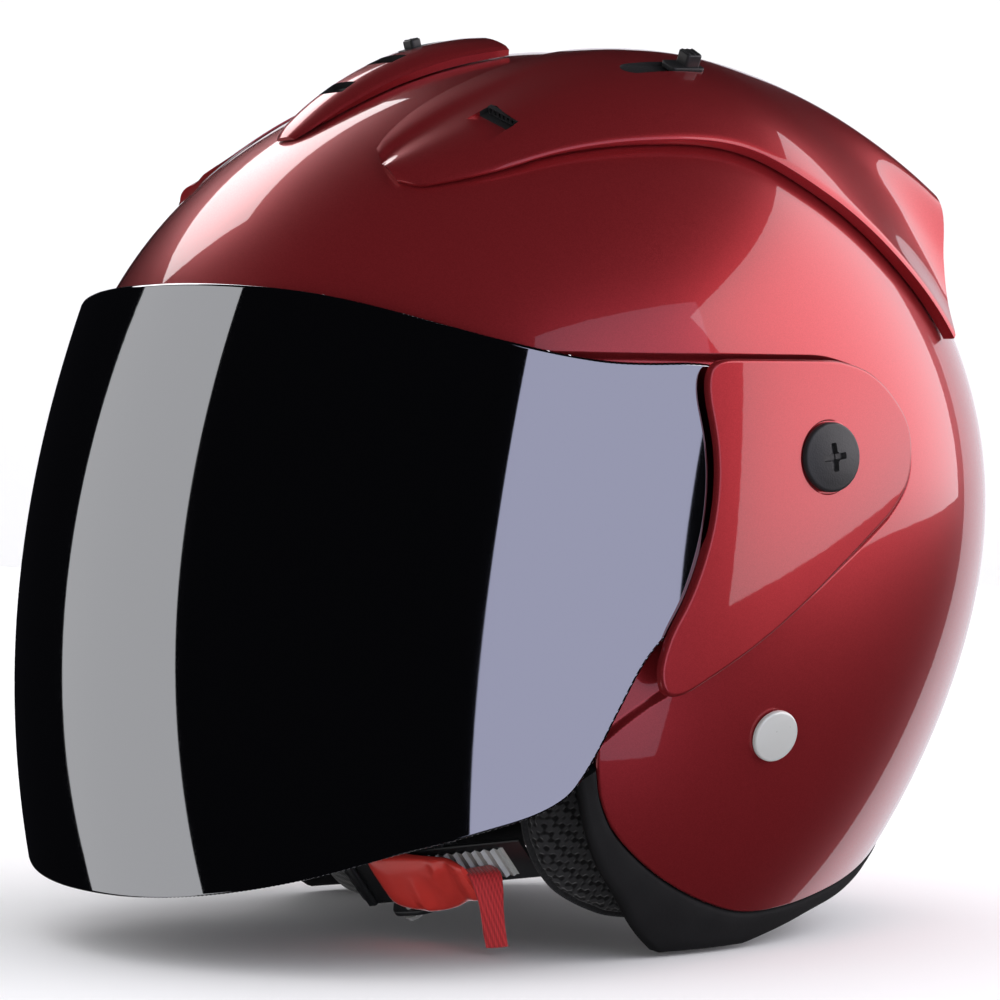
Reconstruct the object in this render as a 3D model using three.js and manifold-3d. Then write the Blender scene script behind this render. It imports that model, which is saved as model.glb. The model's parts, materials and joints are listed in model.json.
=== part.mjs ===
// Open-face motorcycle helmet with a long mirrored visor, as an assembly of its separate pieces.
// Millimetres, +Z up. The face looks along -Y and the wearer's left side is +X.
// The shell is one smooth egg, and every piece on it is placed in "shell places":
//   alpha  angle in side view about the egg's pole, 0 forward, 90 up, 180 back (degrees)
//   f      distance from the pole as a share of the mid-plane radius, 0 at the ear, 1 at the middle
//   h      height over the painted surface, negative inside it
import * as THREE from 'three';
import { mergeVertices } from 'three/addons/utils/BufferGeometryUtils.js';
import Module from 'manifold-3d';

const wasm = await Module();
wasm.setup();

// ---- driving dimensions ------------------------------------------------------------------

const POLE = { y: 12, z: 137 };          // where the egg's widest axis crosses the side view
const HALF_WIDTH = 124;                  // from the mid-plane to the pole
const ROUND_OUT = 2.2;                   // superellipse exponents of the egg's cross-sections
const ROUND_IN = 2.14;
const MID_RADIUS = 140.5;                // mean radius of the mid-plane outline about the pole
const MID_WAVES = [[8, -30.5], [-8.1, -5.6], [-2.9, 2.7], [1.2, 1.8]];   // its cosine, sine waves

const SHELL_WALL = 5.5;
const FLOOR = 2;                         // height of the two flats that the helmet stands on
const GAP = 0.35;                        // between pieces that touch on the real helmet

const PIVOT = { y: 19, z: 137 };         // the visor's axis, through both side screws
const VISOR_WIDTH = 126;                 // half width of the visor's outside at the pivot
const VISOR_OUT = 2.5;
const VISOR_IN = 2.2;
const VISOR_WALL = 2;
const VISOR_SEAT = 3.1;                  // how far the round ear is dished towards the shell
const EAR_RADIUS = 15;
const VISOR_SWING = 50;                  // degrees that it opens
const VISOR_LOWEST = -48;                // where its lower edge starts, as an angle about the pivot
const EAR_OUT = VISOR_WIDTH - VISOR_SEAT;

const SCREW_HEAD = 9.3;                  // radius
const BUSH_RADIUS = 7;
const SCREW_SHANK = 4;
const RIVET = { y: 9.6, z: 63 };
const RIVET_HEAD = 7.1;
const RIVET_TILT = 0.27;                 // the rivets point out and down, square to the shell

const EPS_OUT = -6.4;                    // heights of the layers under the shell
const EPS_IN = -33;
const CAP_OUT = -34.4;
const CAP_IN = -42;

const STRAP_WIDTH = 22;
const STRAP_THICK = 2;

// ---- small tools ---------------------------------------------------------------------------

const { sin, cos, pow, hypot, atan2, min, max, PI, sign, abs } = Math;
const radians = (degrees) => degrees * PI / 180;
const clamp = (value, low, high) => min(max(value, low), high);
const mix = (a, b, t) => a + (b - a) * t;
const smooth = (edge0, edge1, value) => {
  const t = clamp((value - edge0) / (edge1 - edge0), 0, 1);
  return t * t * (3 - 2 * t);
};
const steps = (count) => Array.from({ length: count + 1 }, (_, i) => i / count);

// A smooth function of one value through points [value, result, result, ...] in rising order.
function through(points) {
  const curves = points[0].slice(1).map((_, k) => points.map((p) => p[k + 1]));
  return (value) => {
    let i = points.findIndex((p) => p[0] >= value);
    i = clamp(i < 0 ? points.length - 1 : i, 1, points.length - 1);
    const [x0, x1] = [points[i - 1][0], points[i][0]];
    const t = clamp((value - x0) / (x1 - x0), 0, 1);
    return curves.map((c) => {
      const slope = (j) => {
        const [a, b] = [max(j - 1, 0), min(j + 1, c.length - 1)];
        return (c[b] - c[a]) / (points[b][0] - points[a][0]);
      };
      const [m0, m1] = [slope(i - 1) * (x1 - x0), slope(i) * (x1 - x0)];
      return (2 * t ** 3 - 3 * t ** 2 + 1) * c[i - 1] + (t ** 3 - 2 * t ** 2 + t) * m0
        + (3 * t ** 2 - 2 * t ** 3) * c[i] + (t ** 3 - t ** 2) * m1;
    });
  };
}

// A closed body from points and triangles, turned so that its faces point out.
function body(points, triangles) {
  let volume = 0;
  const [a, b, c] = [new THREE.Vector3(), new THREE.Vector3(), new THREE.Vector3()];
  for (const [i, j, k] of triangles) {
    volume += a.fromArray(points[i]).dot(b.fromArray(points[j]).cross(c.fromArray(points[k])));
  }
  const faces = volume > 0 ? triangles : triangles.map(([i, j, k]) => [i, k, j]);
  const geometry = new THREE.BufferGeometry();
  geometry.setAttribute('position', new THREE.Float32BufferAttribute(points.flat(), 3));
  geometry.setIndex(faces.flat());
  return geometry;
}

// A body lofted through loops of equal length, its two ends closed by fans.
function loft(loops) {
  const count = loops[0].length;
  const points = loops.flat();
  const triangles = [];
  for (let row = 0; row < loops.length - 1; row += 1) {
    for (let i = 0; i < count; i += 1) {
      const j = (i + 1) % count;
      const [p, q] = [row * count, (row + 1) * count];
      triangles.push([p + i, p + j, q + j], [p + i, q + j, q + i]);
    }
  }
  for (const [loop, start] of [[loops[0], 0], [loops.at(-1), (loops.length - 1) * count]]) {
    const centre = [0, 1, 2].map((k) => loop.reduce((sum, p) => sum + p[k], 0) / count);
    const middle = points.push(centre) - 1;
    for (let i = 0; i < count; i += 1) {
      const edge = [start + i, start + (i + 1) % count];
      triangles.push(start ? [...edge, middle] : [...edge.reverse(), middle]);
    }
  }
  return body(points, triangles);
}

// A body between two sheets x = outer(y, z) and x = inner(y, z) over a star-shaped outline.
function patch(outline, centre, rings, outer, inner) {
  const count = outline.length;
  const points = [];
  for (const sheet of [outer, inner]) {
    points.push([sheet(...centre), ...centre]);
    for (const t of rings) {
      for (const [y, z] of outline) {
        const place = [mix(centre[0], y, t), mix(centre[1], z, t)];
        points.push([sheet(...place), ...place]);
      }
    }
  }
  const half = 1 + rings.length * count;
  const triangles = [];
  for (let i = 0; i < count; i += 1) {
    const j = (i + 1) % count;
    triangles.push([0, 1 + i, 1 + j], [half, half + 1 + j, half + 1 + i]);
    for (let ring = 0; ring < rings.length - 1; ring += 1) {
      const [p, q] = [1 + ring * count, 1 + (ring + 1) * count];
      triangles.push([p + i, q + i, q + j], [p + i, q + j, p + j]);
      triangles.push([half + p + i, half + q + j, half + q + i], [half + p + i, half + p + j, half + q + j]);
    }
    const rim = 1 + (rings.length - 1) * count;
    triangles.push([rim + i, half + rim + i, half + rim + j], [rim + i, half + rim + j, rim + j]);
  }
  return body(points, triangles);
}

function solid(geometry) {
  const plain = geometry.clone();
  plain.deleteAttribute('normal');
  plain.deleteAttribute('uv');
  const merged = mergeVertices(plain, 1e-4);
  const indices = [];
  for (let i = 0; i < merged.index.count; i += 3) {
    const corner = [0, 1, 2].map((k) => merged.index.getX(i + k));
    if (new Set(corner).size === 3) indices.push(...corner);
  }
  return new wasm.Manifold(new wasm.Mesh({
    numProp: 3,
    vertProperties: new Float32Array(merged.attributes.position.array),
    triVerts: new Uint32Array(indices),
  }));
}

function surface(manifold) {
  const mesh = manifold.getMesh();
  const geometry = new THREE.BufferGeometry();
  geometry.setAttribute('position', new THREE.BufferAttribute(new Float32Array(mesh.vertProperties), 3));
  geometry.setIndex(new THREE.BufferAttribute(new Uint32Array(mesh.triVerts), 1));
  return geometry;
}

// The other side's copy of a body, mirrored in the mid-plane.
function mirrored(geometry) {
  const copy = geometry.clone();
  const place = copy.attributes.position;
  for (let i = 0; i < place.count; i += 1) place.setX(i, -place.getX(i));
  const index = copy.index.array.slice();
  for (let i = 0; i < index.length; i += 3) [index[i + 1], index[i + 2]] = [index[i + 2], index[i + 1]];
  copy.setIndex(new THREE.BufferAttribute(index, 1));
  return copy;
}

// A side-view outline, (y, z) points, pushed through the helmet from x0 to x1.
function acrossX(outline, x0, x1) {
  const shape = new THREE.Shape(outline.map(([y, z]) => new THREE.Vector2(y, z)));
  const geometry = new THREE.ExtrudeGeometry(shape, { depth: x1 - x0, bevelEnabled: false, steps: 1 });
  const [along, up, out] = [new THREE.Vector3(0, 1, 0), new THREE.Vector3(0, 0, 1), new THREE.Vector3(1, 0, 0)];
  geometry.applyMatrix4(new THREE.Matrix4().makeBasis(along, up, out));
  return geometry.translate(x0, 0, 0);
}

// Points along a smooth open line through a few (y, z) places.
function line(places, count) {
  const curve = new THREE.SplineCurve(places.map(([y, z]) => new THREE.Vector2(y, z)));
  return curve.getPoints(count).map((p) => [p.x, p.y]);
}

const revolve = (profile, segments = 24) => (
  new THREE.LatheGeometry(profile.map(([r, y]) => new THREE.Vector2(r, y)), segments));

// ---- the egg -------------------------------------------------------------------------------

function midRadius(alpha) {
  const a = radians(alpha);
  return MID_WAVES.reduce((sum, [c, s], k) => sum + c * cos((k + 1) * a) + s * sin((k + 1) * a), MID_RADIUS);
}

function shellPoint(alpha, f, h) {
  const rho = f * (midRadius(alpha) + h);
  const a = radians(alpha);
  const x = (HALF_WIDTH + h) * pow(max(0, 1 - pow(f, ROUND_OUT)), 1 / ROUND_IN);
  return [x, POLE.y - rho * cos(a), POLE.z + rho * sin(a)];
}

// Half width of the egg at height h, over a side-view place.
function eggX(y, z, h = 0) {
  const a = atan2(z - POLE.z, POLE.y - y);
  const f = hypot(z - POLE.z, POLE.y - y) / (midRadius(a * 180 / PI) + h);
  return (HALF_WIDTH + h) * pow(max(0, 1 - pow(min(f, 1), ROUND_OUT)), 1 / ROUND_IN);
}

// Frame on the shell: its columns point rearward along the shell, down its side, and out.
function shellFrame(alpha, f, h) {
  const at = new THREE.Vector3(...shellPoint(alpha, f, h));
  const rear = new THREE.Vector3(...shellPoint(alpha + 1, f, h)).sub(at).normalize();
  const down = new THREE.Vector3(...shellPoint(alpha, f - 0.01, h)).sub(at).normalize();
  const out = new THREE.Vector3().crossVectors(down, rear).normalize();
  const side = new THREE.Vector3().crossVectors(rear, out).negate();
  return new THREE.Matrix4().makeBasis(rear, side, out.clone()).setPosition(at);
}

function egg(h, around, across) {
  const loops = [];
  for (const t of steps(2 * across).slice(1, -1)) {
    const psi = (2 * t - 1) * PI / 2;
    const f = pow(cos(psi), 2 / ROUND_OUT);
    const x = sign(psi) * (HALF_WIDTH + h) * pow(abs(sin(psi)), 2 / ROUND_IN);
    loops.push(steps(around).slice(0, -1).map((u) => {
      const [, y, z] = shellPoint(u * 360, f, h);
      return [x, y, z];
    }));
  }
  const geometry = loft(loops);
  // the two fan centres become the poles
  const place = geometry.attributes.position;
  place.setXYZ(place.count - 2, -HALF_WIDTH - h, POLE.y, POLE.z);
  place.setXYZ(place.count - 1, HALF_WIDTH + h, POLE.y, POLE.z);
  return geometry;
}

// ---- the visor's surface -------------------------------------------------------------------

function visorRadius(theta) {
  const t = min(theta, 21.5) / 60;
  return 149.7 - 38 * t + 53.1 * t * t - 2.4 * t ** 3;
}

// Half width of the visor's outside over a side-view place, with its dished round ear.
function visorXAt(r, theta) {
  const f = min(r / visorRadius(theta), 1);
  return VISOR_WIDTH * pow(1 - pow(f, VISOR_OUT), 1 / VISOR_IN) - VISOR_SEAT * (1 - smooth(15, 27, r));
}

function aboutPivot(y, z) {
  return [hypot(z - PIVOT.z, PIVOT.y - y), atan2(z - PIVOT.z, PIVOT.y - y) * 180 / PI];
}

const visorX = (y, z) => visorXAt(...aboutPivot(y, z));

// Its upper and lower edges, as angles about the pivot against the share f of its radius.
const visorTop = through([[0.08, 36], [0.19, 33], [0.293, 28.4], [0.4, 25.2], [0.5, 21.5], [0.66, 19.3],
  [0.9, 19.6], [1, 19.3]]);
const visorBottom = through([[0.08, -50], [0.23, -44.1], [0.354, -43.6], [0.426, -46.8], [0.478, -49],
  [0.53, -49.6], [0.65, -45.3], [0.75, -42.1], [0.86, -39.8], [1, -37.3]]);

// ---- outlines in side view -----------------------------------------------------------------

// The shell's free edge: over the forehead, down the face port, along the neck to the nape.
const PORT = [[-128, 162], [-106, 162], [-86, 157], [-70, 143], [-60, 122], [-52, 98], [-45, 72], [-42.5, 56]];
const NECK = [[-42.5, 56], [-40, 47.5], [-34.5, 38.5], [-25, 30], [-13.6, 22.8], [0, 16.8], [15, 12.8], [31, 12.8],
  [49, 15.2], [68, 19], [90, 26], [112, 34], [140, 41]];
const portEdge = line(PORT, 26);
const neckEdge = line(NECK, 30);

// The lower edge of the neck binding, with the flat that each cheek lobe stands on.
const BINDING_FRONT = [[-47.5, 52], [-45.4, 47.5], [-42, 38.5], [-36, 27.5], [-27.5, 17.5], [-19.5, 8.5], [-11, FLOOR]];
const BINDING_REAR = [[20, FLOOR], [32, 5], [46, 9], [62, 12], [80, 17.5], [100, 24], [120, 30], [140, 34]];
const bindingEdge = [...line(BINDING_FRONT, 12), ...line(BINDING_REAR, 14)];

// The side plate: S-curved front edge, straight lower edge, round rear, flat top under the slot.
const plateOutline = [
  ...line([[-15, 162.7], [-19.3, 160.8], [-20.6, 156]], 4),
  ...line([[-20.4, 152], [-18.4, 141], [-18, 131], [-19.2, 120.5], [-22, 110], [-26, 100], [-31, 91], [-33.4, 83]], 9),
  ...line([[-33.2, 79.5], [-31.8, 75.8], [-28.6, 74.6]], 3),
  ...line([[-24, 76], [-4.8, 86.5], [10.6, 96.5], [27.3, 108.6], [41.5, 118.7]], 6),
  ...line([[45.5, 121.5], [53, 131], [52.6, 144], [44.5, 153.5], [34, 160], [22, 162.7]], 7),
  ...line([[13, 162.7], [-6, 162.7]], 2),
];
const PLATE_CENTRE = [8, 130];

// The stepped field in the shell that the visor's sides and the plates lie in.
const fieldOutline = [
  ...line([[-140, 173], [-110, 166.5], [-70, 164.4], [-21, 163.6], [22, 163.6]], 10),
  ...line([[34.4, 160.7], [45.1, 154.1], [53.3, 144.3], [53.8, 131], [46, 121]], 8),
  ...line([[41.9, 118], [27.6, 107.9], [10.9, 95.8], [-4.5, 85.8], [-28.5, 73.6]], 7),
  ...line([[-37, 67.5], [-60, 51], [-140, 10]], 5),
];
const FIELD_CENTRE = [-25, 118];

// ---- group and materials -------------------------------------------------------------------

const helmet = new THREE.Group();

const finish = (color, roughness, metalness = 0) => (
  () => new THREE.MeshStandardMaterial({ color, roughness, metalness }));
const redPaint = finish(0x8c1b26, 0.18, 0.35);
const mirror = finish(0x11131a, 0.05, 0.8);
const blackPlastic = finish(0x151515, 0.4);
const rubber = finish(0x1c1c1c, 0.8);
const foam = finish(0x2c2c2e, 0.95);
const cloth = finish(0x191919, 1);
const webbing = finish(0x1b1b1c, 0.9);
const steel = finish(0xb9bbbd, 0.25, 1);
const darkSteel = finish(0x24262a, 0.35, 0.8);
const redPlastic = finish(0xb53437, 0.35);
const redRibbon = finish(0x9c1c26, 0.9);

function add(name, geometry, material) {
  const mesh = new THREE.Mesh(geometry, material());
  mesh.name = name;
  helmet.add(mesh);
  return mesh;
}

// Both sides' copies of a piece that is drawn on the wearer's left.
function addPair(name, geometry, material) {
  const plain = surface(solid(geometry));
  add(`${name}_left`, plain, material);
  add(`${name}_right`, mirrored(plain), material);
}

// A revolved piece whose axis points out of the helmet's side at both screws or rivets.
function addTurned(name, geometry, x, place, material, tilt = 0) {
  for (const [word, side] of [['left', 1], ['right', -1]]) {
    const mesh = add(`${name}_${word}`, geometry, material);
    const out = new THREE.Vector3(side * cos(tilt), 0, -sin(tilt));
    mesh.position.set(side * x, place.y, place.z);
    mesh.quaternion.setFromUnitVectors(new THREE.Vector3(0, 1, 0), out);
  }
}

// ---- outer shell ---------------------------------------------------------------------------

// Everything in front of the port's edge and below the neck's edge, moved back and up by an inset.
function openSide(inset) {
  const edge = [...portEdge, ...neckEdge.slice(1)].map(([y, z]) => [y + inset, z + inset]);
  return [[-260, edge[0][1]], ...edge, [260, edge.at(-1)[1]], [260, -120], [-260, -120]];
}

const cutBar = (outline) => solid(acrossX(outline, -180, 180));
const fieldFloor = (y, z) => min(eggX(y, z, -1.8), visorX(y, z) - VISOR_WALL - 0.8);

function ductHole(alpha, f, radius) {
  const pin = new THREE.CylinderGeometry(radius, radius, 120, 12).rotateX(PI / 2);
  return solid(pin.applyMatrix4(shellFrame(alpha, f, 0)));
}

const DUCTS = [[62, 0.999, 4], [64, 0.86, 4], [108, 0.9, 4]];

function withDucts(shape) {
  let result = shape;
  for (const [alpha, f, radius] of DUCTS) {
    const hole = ductHole(alpha, f, radius);
    result = result.subtract(hole);
    if (f < 0.99) result = result.subtract(solid(mirrored(surface(hole))));
  }
  return result;
}

function sideHole(place, radius) {
  const pin = new THREE.CylinderGeometry(radius, radius, 300, 20).rotateZ(PI / 2);
  return solid(pin.translate(0, place.y, place.z));
}

// A body drawn along +Y, set on the left rivet's or screw's axis, pointing out of the shell.
function placedOut(geometry, side, x, place, tilt) {
  const out = new THREE.Vector3(side * cos(tilt), 0, -sin(tilt));
  const turn = new THREE.Quaternion().setFromUnitVectors(new THREE.Vector3(0, 1, 0), out);
  const at = new THREE.Vector3(side * x, place.y, place.z);
  return geometry.clone().applyMatrix4(new THREE.Matrix4().compose(at, turn, new THREE.Vector3(1, 1, 1)));
}

function rivetHoles(shape) {
  const pin = new THREE.CylinderGeometry(2.9, 2.9, 60, 16);
  const at = eggX(RIVET.y, RIVET.z);
  return shape.subtract(solid(placedOut(pin, 1, at, RIVET, RIVET_TILT)))
    .subtract(solid(placedOut(pin, -1, at, RIVET, RIVET_TILT)));
}

function outerShell() {
  const field = patch(fieldOutline, FIELD_CENTRE, [0.25, 0.5, 0.72, 0.88, 1], () => 150, fieldFloor);
  const wall = solid(egg(0, 48, 9)).subtract(solid(egg(-SHELL_WALL, 28, 6)));
  const open = wall.subtract(cutBar(openSide(0)))
    .subtract(solid(field))
    .subtract(solid(mirrored(field)));
  return rivetHoles(withDucts(open).subtract(sideHole(PIVOT, SCREW_SHANK + 0.3)));
}

add('outer_shell', surface(outerShell()), redPaint);

// ---- edge trims ----------------------------------------------------------------------------

function faceTrim() {
  const inner = portEdge.map(([y, z]) => [y - GAP, z - GAP]);
  const outer = portEdge.map(([y, z]) => [y - 4, z - 3]).reverse();
  outer[0] = [outer[0][0], 57.5];
  inner[inner.length - 1] = [inner.at(-1)[0], 57.5];
  const band = acrossX([[-200, inner[0][1]], ...inner, ...outer, [-200, outer.at(-1)[1]]], -180, 180);
  return solid(egg(-0.6, 32, 8)).subtract(solid(egg(-SHELL_WALL - 1, 26, 7))).intersect(solid(band));
}

function neckTrim() {
  const top = neckEdge.map(([y, z]) => [y, z - GAP]);
  top[0] = [top[0][0], 55];
  const bottom = [...bindingEdge].reverse();
  const band = acrossX([...top, [200, top.at(-1)[1]], [200, bottom[0][1]], ...bottom], -180, 180);
  const wall = solid(egg(0.4, 40, 9)).subtract(solid(egg(-9, 30, 8)));
  return wall.intersect(solid(band));
}

add('face_trim', surface(faceTrim()), rubber);
add('neck_trim', surface(neckTrim()), rubber);

// ---- liner ---------------------------------------------------------------------------------

const NUT_POCKET = 11;

// The shock liner stops above the cheeks, and has room for the nuts inside the shell.
function epsLiner() {
  const wall = solid(egg(EPS_OUT, 26, 6)).subtract(solid(egg(EPS_IN, 20, 5)));
  const cheeks = cutBar([[-260, 81], [40, 81], [75, 68], [105, 60], [260, 60], [260, -80], [-260, -80]]);
  return withDucts(wall.subtract(cutBar(openSide(9))).subtract(cheeks)).subtract(sideHole(PIVOT, NUT_POCKET));
}

function crownLiner() {
  const wall = solid(egg(CAP_OUT, 22, 5)).subtract(solid(egg(CAP_IN, 20, 5)));
  const below = cutBar([[-260, 104], [260, 88], [260, -80], [-260, -80]]);
  return wall.subtract(cutBar(openSide(12))).subtract(below);
}

// A cheek pad fills the side under the liner; its inside is a crowned cushion.
const padOutline = [
  ...line([[-44, 76], [-47.5, 62], [-48.5, 46], [-45, 31], [-36.5, 20], [-25.5, 14], [-13, 10.5]], 9),
  ...line([[6, 9.5], [24, 12], [44, 18], [54, 27], [57, 41], [54, 60], [44, 76]], 8),
];

function padInside(y, z) {
  const reach = hypot((y - 4) / 54, (z - 41) / 36);
  return mix(64, 75, smooth(0.35, 1.15, reach));
}

function cheekPad() {
  const outside = (y, z) => max(eggX(y, z, -12), padInside(y, z) + 2.5);
  return patch(padOutline, [4, 42], [0.55, 1], outside, padInside);
}

// The neck roll closes the nape between the two cheek pads.
function neckRoll() {
  const wall = solid(egg(-10, 28, 7)).subtract(solid(egg(-31, 24, 6)));
  const band = acrossX([[61, 65], [82, 58], [106, 54], [150, 54], [150, 34], [112, 31], [90, 23], [61, 17]], -150, 150);
  return wall.intersect(solid(band));
}

add('eps_liner', surface(epsLiner()), foam);
add('crown_liner', surface(crownLiner()), cloth);
add('neck_roll', surface(neckRoll()), cloth);

// ---- visor, its pivots and side plates -----------------------------------------------------

function visorSheet() {
  const shares = [0.1, 0.125, 0.15, 0.175, 0.2, 0.27, 0.35, 0.44, 0.53, 0.62, 0.71, 0.79, 0.87, 0.93, 0.975, 1];
  const places = [...shares.map((f) => [f, 1]), ...shares.slice(0, -1).reverse().map((f) => [f, -1])];
  const loops = places.map(([f, side]) => {
    const [high] = visorTop(f);
    const [low] = visorBottom(f);
    const ring = (inset) => steps(5).map((t) => {
      const theta = mix(high, low, t);
      const reach = visorRadius(theta);
      const r = f * reach * (1 - inset / reach);
      const [y, z] = [PIVOT.y - r * cos(radians(theta)), PIVOT.z + r * sin(radians(theta))];
      const dish = VISOR_SEAT * (1 - smooth(15, 27, r));
      const x = (VISOR_WIDTH - inset) * pow(1 - pow(f, VISOR_OUT), 1 / VISOR_IN) - dish;
      return [side * x, y, z];
    });
    return [...ring(0), ...ring(VISOR_WALL).reverse()];
  });
  return loft(loops);
}

function visor() {
  const disc = new THREE.CylinderGeometry(EAR_RADIUS, EAR_RADIUS, VISOR_WALL, 32).rotateZ(PI / 2);
  let result = solid(visorSheet());
  for (const side of [1, -1]) {
    result = result.add(solid(disc.clone().translate(side * (EAR_OUT - VISOR_WALL / 2), PIVOT.y, PIVOT.z)));
  }
  return result.subtract(sideHole(PIVOT, BUSH_RADIUS + GAP));
}

add('visor', surface(visor()), mirror);

const PLATE_WALL = 1.9;

// The least half width over the visor and its ear wherever the visor sweeps under the plate:
// the part of the visor that stands out most comes from below as it opens.
function visorCover(y, z) {
  const [r, theta] = aboutPivot(y, z);
  const away = theta > 0 ? smooth(100, 150, theta) : smooth(52, 90, -theta);
  const widest = max(theta - VISOR_SWING, min(theta, VISOR_LOWEST));
  return mix(visorXAt(r, widest), EAR_OUT - 0.3 * max(0, r - EAR_RADIUS), away) + 0.95;
}

// The plate is flush with the shell at its rear and stands clear over the visor at its front.
function plateUnder(y, z) {
  const [low, high] = [eggX(y, z) + 0.8 - PLATE_WALL, visorCover(y, z)];
  return (low + high + hypot(low - high, 1)) / 2;
}

const plateX = (y, z) => plateUnder(y, z) + PLATE_WALL;

function sidePlate() {
  const sheet = solid(patch(plateOutline, PLATE_CENTRE, [0.14, 0.28, 0.42, 0.58, 0.78, 1], plateX, plateUnder));
  const seat = new THREE.CylinderGeometry(SCREW_HEAD + GAP, SCREW_HEAD + GAP, 20, 32).rotateZ(PI / 2);
  seat.translate(plateX(PIVOT.y, PIVOT.z) - 1.1 + 10, PIVOT.y, PIVOT.z);
  return surface(sheet.subtract(solid(seat)).subtract(sideHole(PIVOT, SCREW_SHANK + 0.4)));
}

addPair('side_plate', sidePlate(), redPaint);

// Black cross-head screw, the bush that the visor turns on, and the nut inside the shell.
const HEAD_UNDER = plateX(PIVOT.y, PIVOT.z) - 1.1 + GAP;
const NUT_FACE = HALF_WIDTH - SHELL_WALL - 2;

function screw() {
  const tip = NUT_FACE - 8 - HEAD_UNDER;
  const turned = solid(revolve([[0, tip], [SCREW_SHANK, tip], [SCREW_SHANK, 0], [SCREW_HEAD, 0], [SCREW_HEAD, 1.1],
    [SCREW_HEAD - 0.7, 1.9], [4.5, 2.5], [0, 2.7]], 28));
  let cross = turned;
  for (const turn of [0, PI / 2]) {
    const slot = new THREE.BoxGeometry(6.4, 3.6, 1.3).rotateY(turn + PI / 4).translate(0, 2.7, 0);
    cross = cross.subtract(solid(slot));
  }
  return surface(cross);
}

addTurned('pivot_screw', screw(), HEAD_UNDER, PIVOT, blackPlastic);

const ring = (outer, inner, length, segments = 24) => (
  revolve([[inner, 0], [outer, 0], [outer, length], [inner, length], [inner, 0]], segments));
const BUSH_FOOT = fieldFloor(PIVOT.y, PIVOT.z) + GAP;
const BUSH_LENGTH = EAR_OUT + 0.2 - BUSH_FOOT;
addTurned('pivot_bush', ring(BUSH_RADIUS, SCREW_SHANK + GAP, BUSH_LENGTH), BUSH_FOOT, PIVOT, blackPlastic);
const hexagon = new THREE.CylinderGeometry(9, 9, 5, 6).translate(0, 2.5, 0);
const thread = new THREE.CylinderGeometry(SCREW_SHANK + 0.3, SCREW_SHANK + 0.3, 12, 20);
addTurned('pivot_nut', surface(solid(hexagon).subtract(solid(thread))), NUT_FACE - 5, PIVOT, steel);

// ---- vents on the crown --------------------------------------------------------------------

// A wing is lofted along three rails, [share, alpha, f, h] each: lower lip, crest, inner edge.
const WING_BASE = 0.7;
const wingLow = through([[0, 40.9, 0.903, 1.2], [0.04, 41.8, 0.874, 1.6], [0.12, 48.5, 0.825, 2.2],
  [0.25, 59, 0.786, 3], [0.4, 74.5, 0.738, 3.6], [0.55, 92, 0.698, 4], [0.7, 110, 0.635, 4], [0.85, 131, 0.613, 4],
  [1, 155.5, 0.638, 4]]);
const wingCrest = through([[0, 43, 0.932, 1.4], [0.04, 46.5, 0.935, 2.2], [0.12, 54, 0.928, 2.9],
  [0.25, 64, 0.922, 3.8], [0.4, 79, 0.918, 4.9], [0.55, 94, 0.912, 5.9], [0.7, 109, 0.9, 7],
  [0.85, 124, 0.865, 10.2], [1, 139, 0.82, 14.6]]);
const wingInner = through([[0, 45.5, 0.95, 1.2], [0.04, 48.5, 0.957, 1.6], [0.12, 55, 0.963, 1.8],
  [0.25, 65, 0.965, 2.2], [0.4, 79, 0.962, 2.8], [0.55, 93, 0.955, 3.8], [0.7, 107, 0.945, 5.4],
  [0.85, 121, 0.935, 9], [1, 134, 0.93, 13]]);

function wingLoop(s) {
  const [low, crest, inner] = [wingLow(s), wingCrest(s), wingInner(s)];
  const between = (a, b, t) => [0, 1, 2].map((k) => mix(a[k], b[k], t));
  const lift = (place, extra) => [place[0], place[1], place[2] + extra];
  const bulge = mix(1.2, -3.4, smooth(0.55, 1, s));
  const top = [inner, lift(between(inner, crest, 0.5), 0.4), crest, lift(between(crest, low, 0.33), bulge),
    lift(between(crest, low, 0.66), bulge), low];
  const under = steps(5).map((t) => between(low, inner, t)).map(([a, f]) => [a, f, WING_BASE]);
  return [...top, ...under].map((place) => shellPoint(...place));
}

function boxOnShell(place, size, offset) {
  const block = new THREE.BoxGeometry(...size).translate(...offset);
  return solid(block.applyMatrix4(shellFrame(...place)));
}

const SLIDER_PLACE = [88, 0.878, 6.6];
const SLOT_SIZE = [27, 8, 4];
const SCOOP_PLACE = [57, 0.886, 3.9];

function wing() {
  let shape = solid(loft(steps(22).map(wingLoop)));
  shape = shape.subtract(boxOnShell(SLIDER_PLACE, SLOT_SIZE, [0, 0, 0]));
  return surface(shape.subtract(boxOnShell(SCOOP_PLACE, [12, 9, 5.4], [0, 0, 0])));
}

addPair('wing', wing(), redPaint);

function wingSlider() {
  const base = boxOnShell(SLIDER_PLACE, [11, 6.6, 1.8], [7, 0, -0.6]);
  const knob = boxOnShell(SLIDER_PLACE, [5, 5.4, 4.4], [8.4, 0, 1.7]);
  return surface(base.add(knob));
}

addPair('wing_slider', wingSlider(), blackPlastic);

function scoopGrille() {
  return surface(boxOnShell(SCOOP_PLACE, [1.4, 8, 3.2], [4.7, 0, -0.7]));
}

addPair('scoop_grille', scoopGrille(), blackPlastic);

// The centre vent cover, from the forehead to the crown.
const ventShape = through([[0, 46.3, 4.5, 1.5], [0.06, 48.2, 8, 2.6], [0.25, 54.5, 11.5, 4.6], [0.5, 62.5, 14, 6.2],
  [0.75, 70, 17.5, 6.8], [0.93, 76, 21, 6.3], [1, 78.5, 21.5, 5.8]]);

// A place given by its distance x from the mid-plane instead of f.
function crownPoint(alpha, x, h) {
  const f = pow(1 - pow(abs(x) / (HALF_WIDTH + h), ROUND_IN), 1 / ROUND_OUT);
  const [, y, z] = shellPoint(alpha, f, h);
  return [x, y, z];
}

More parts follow.
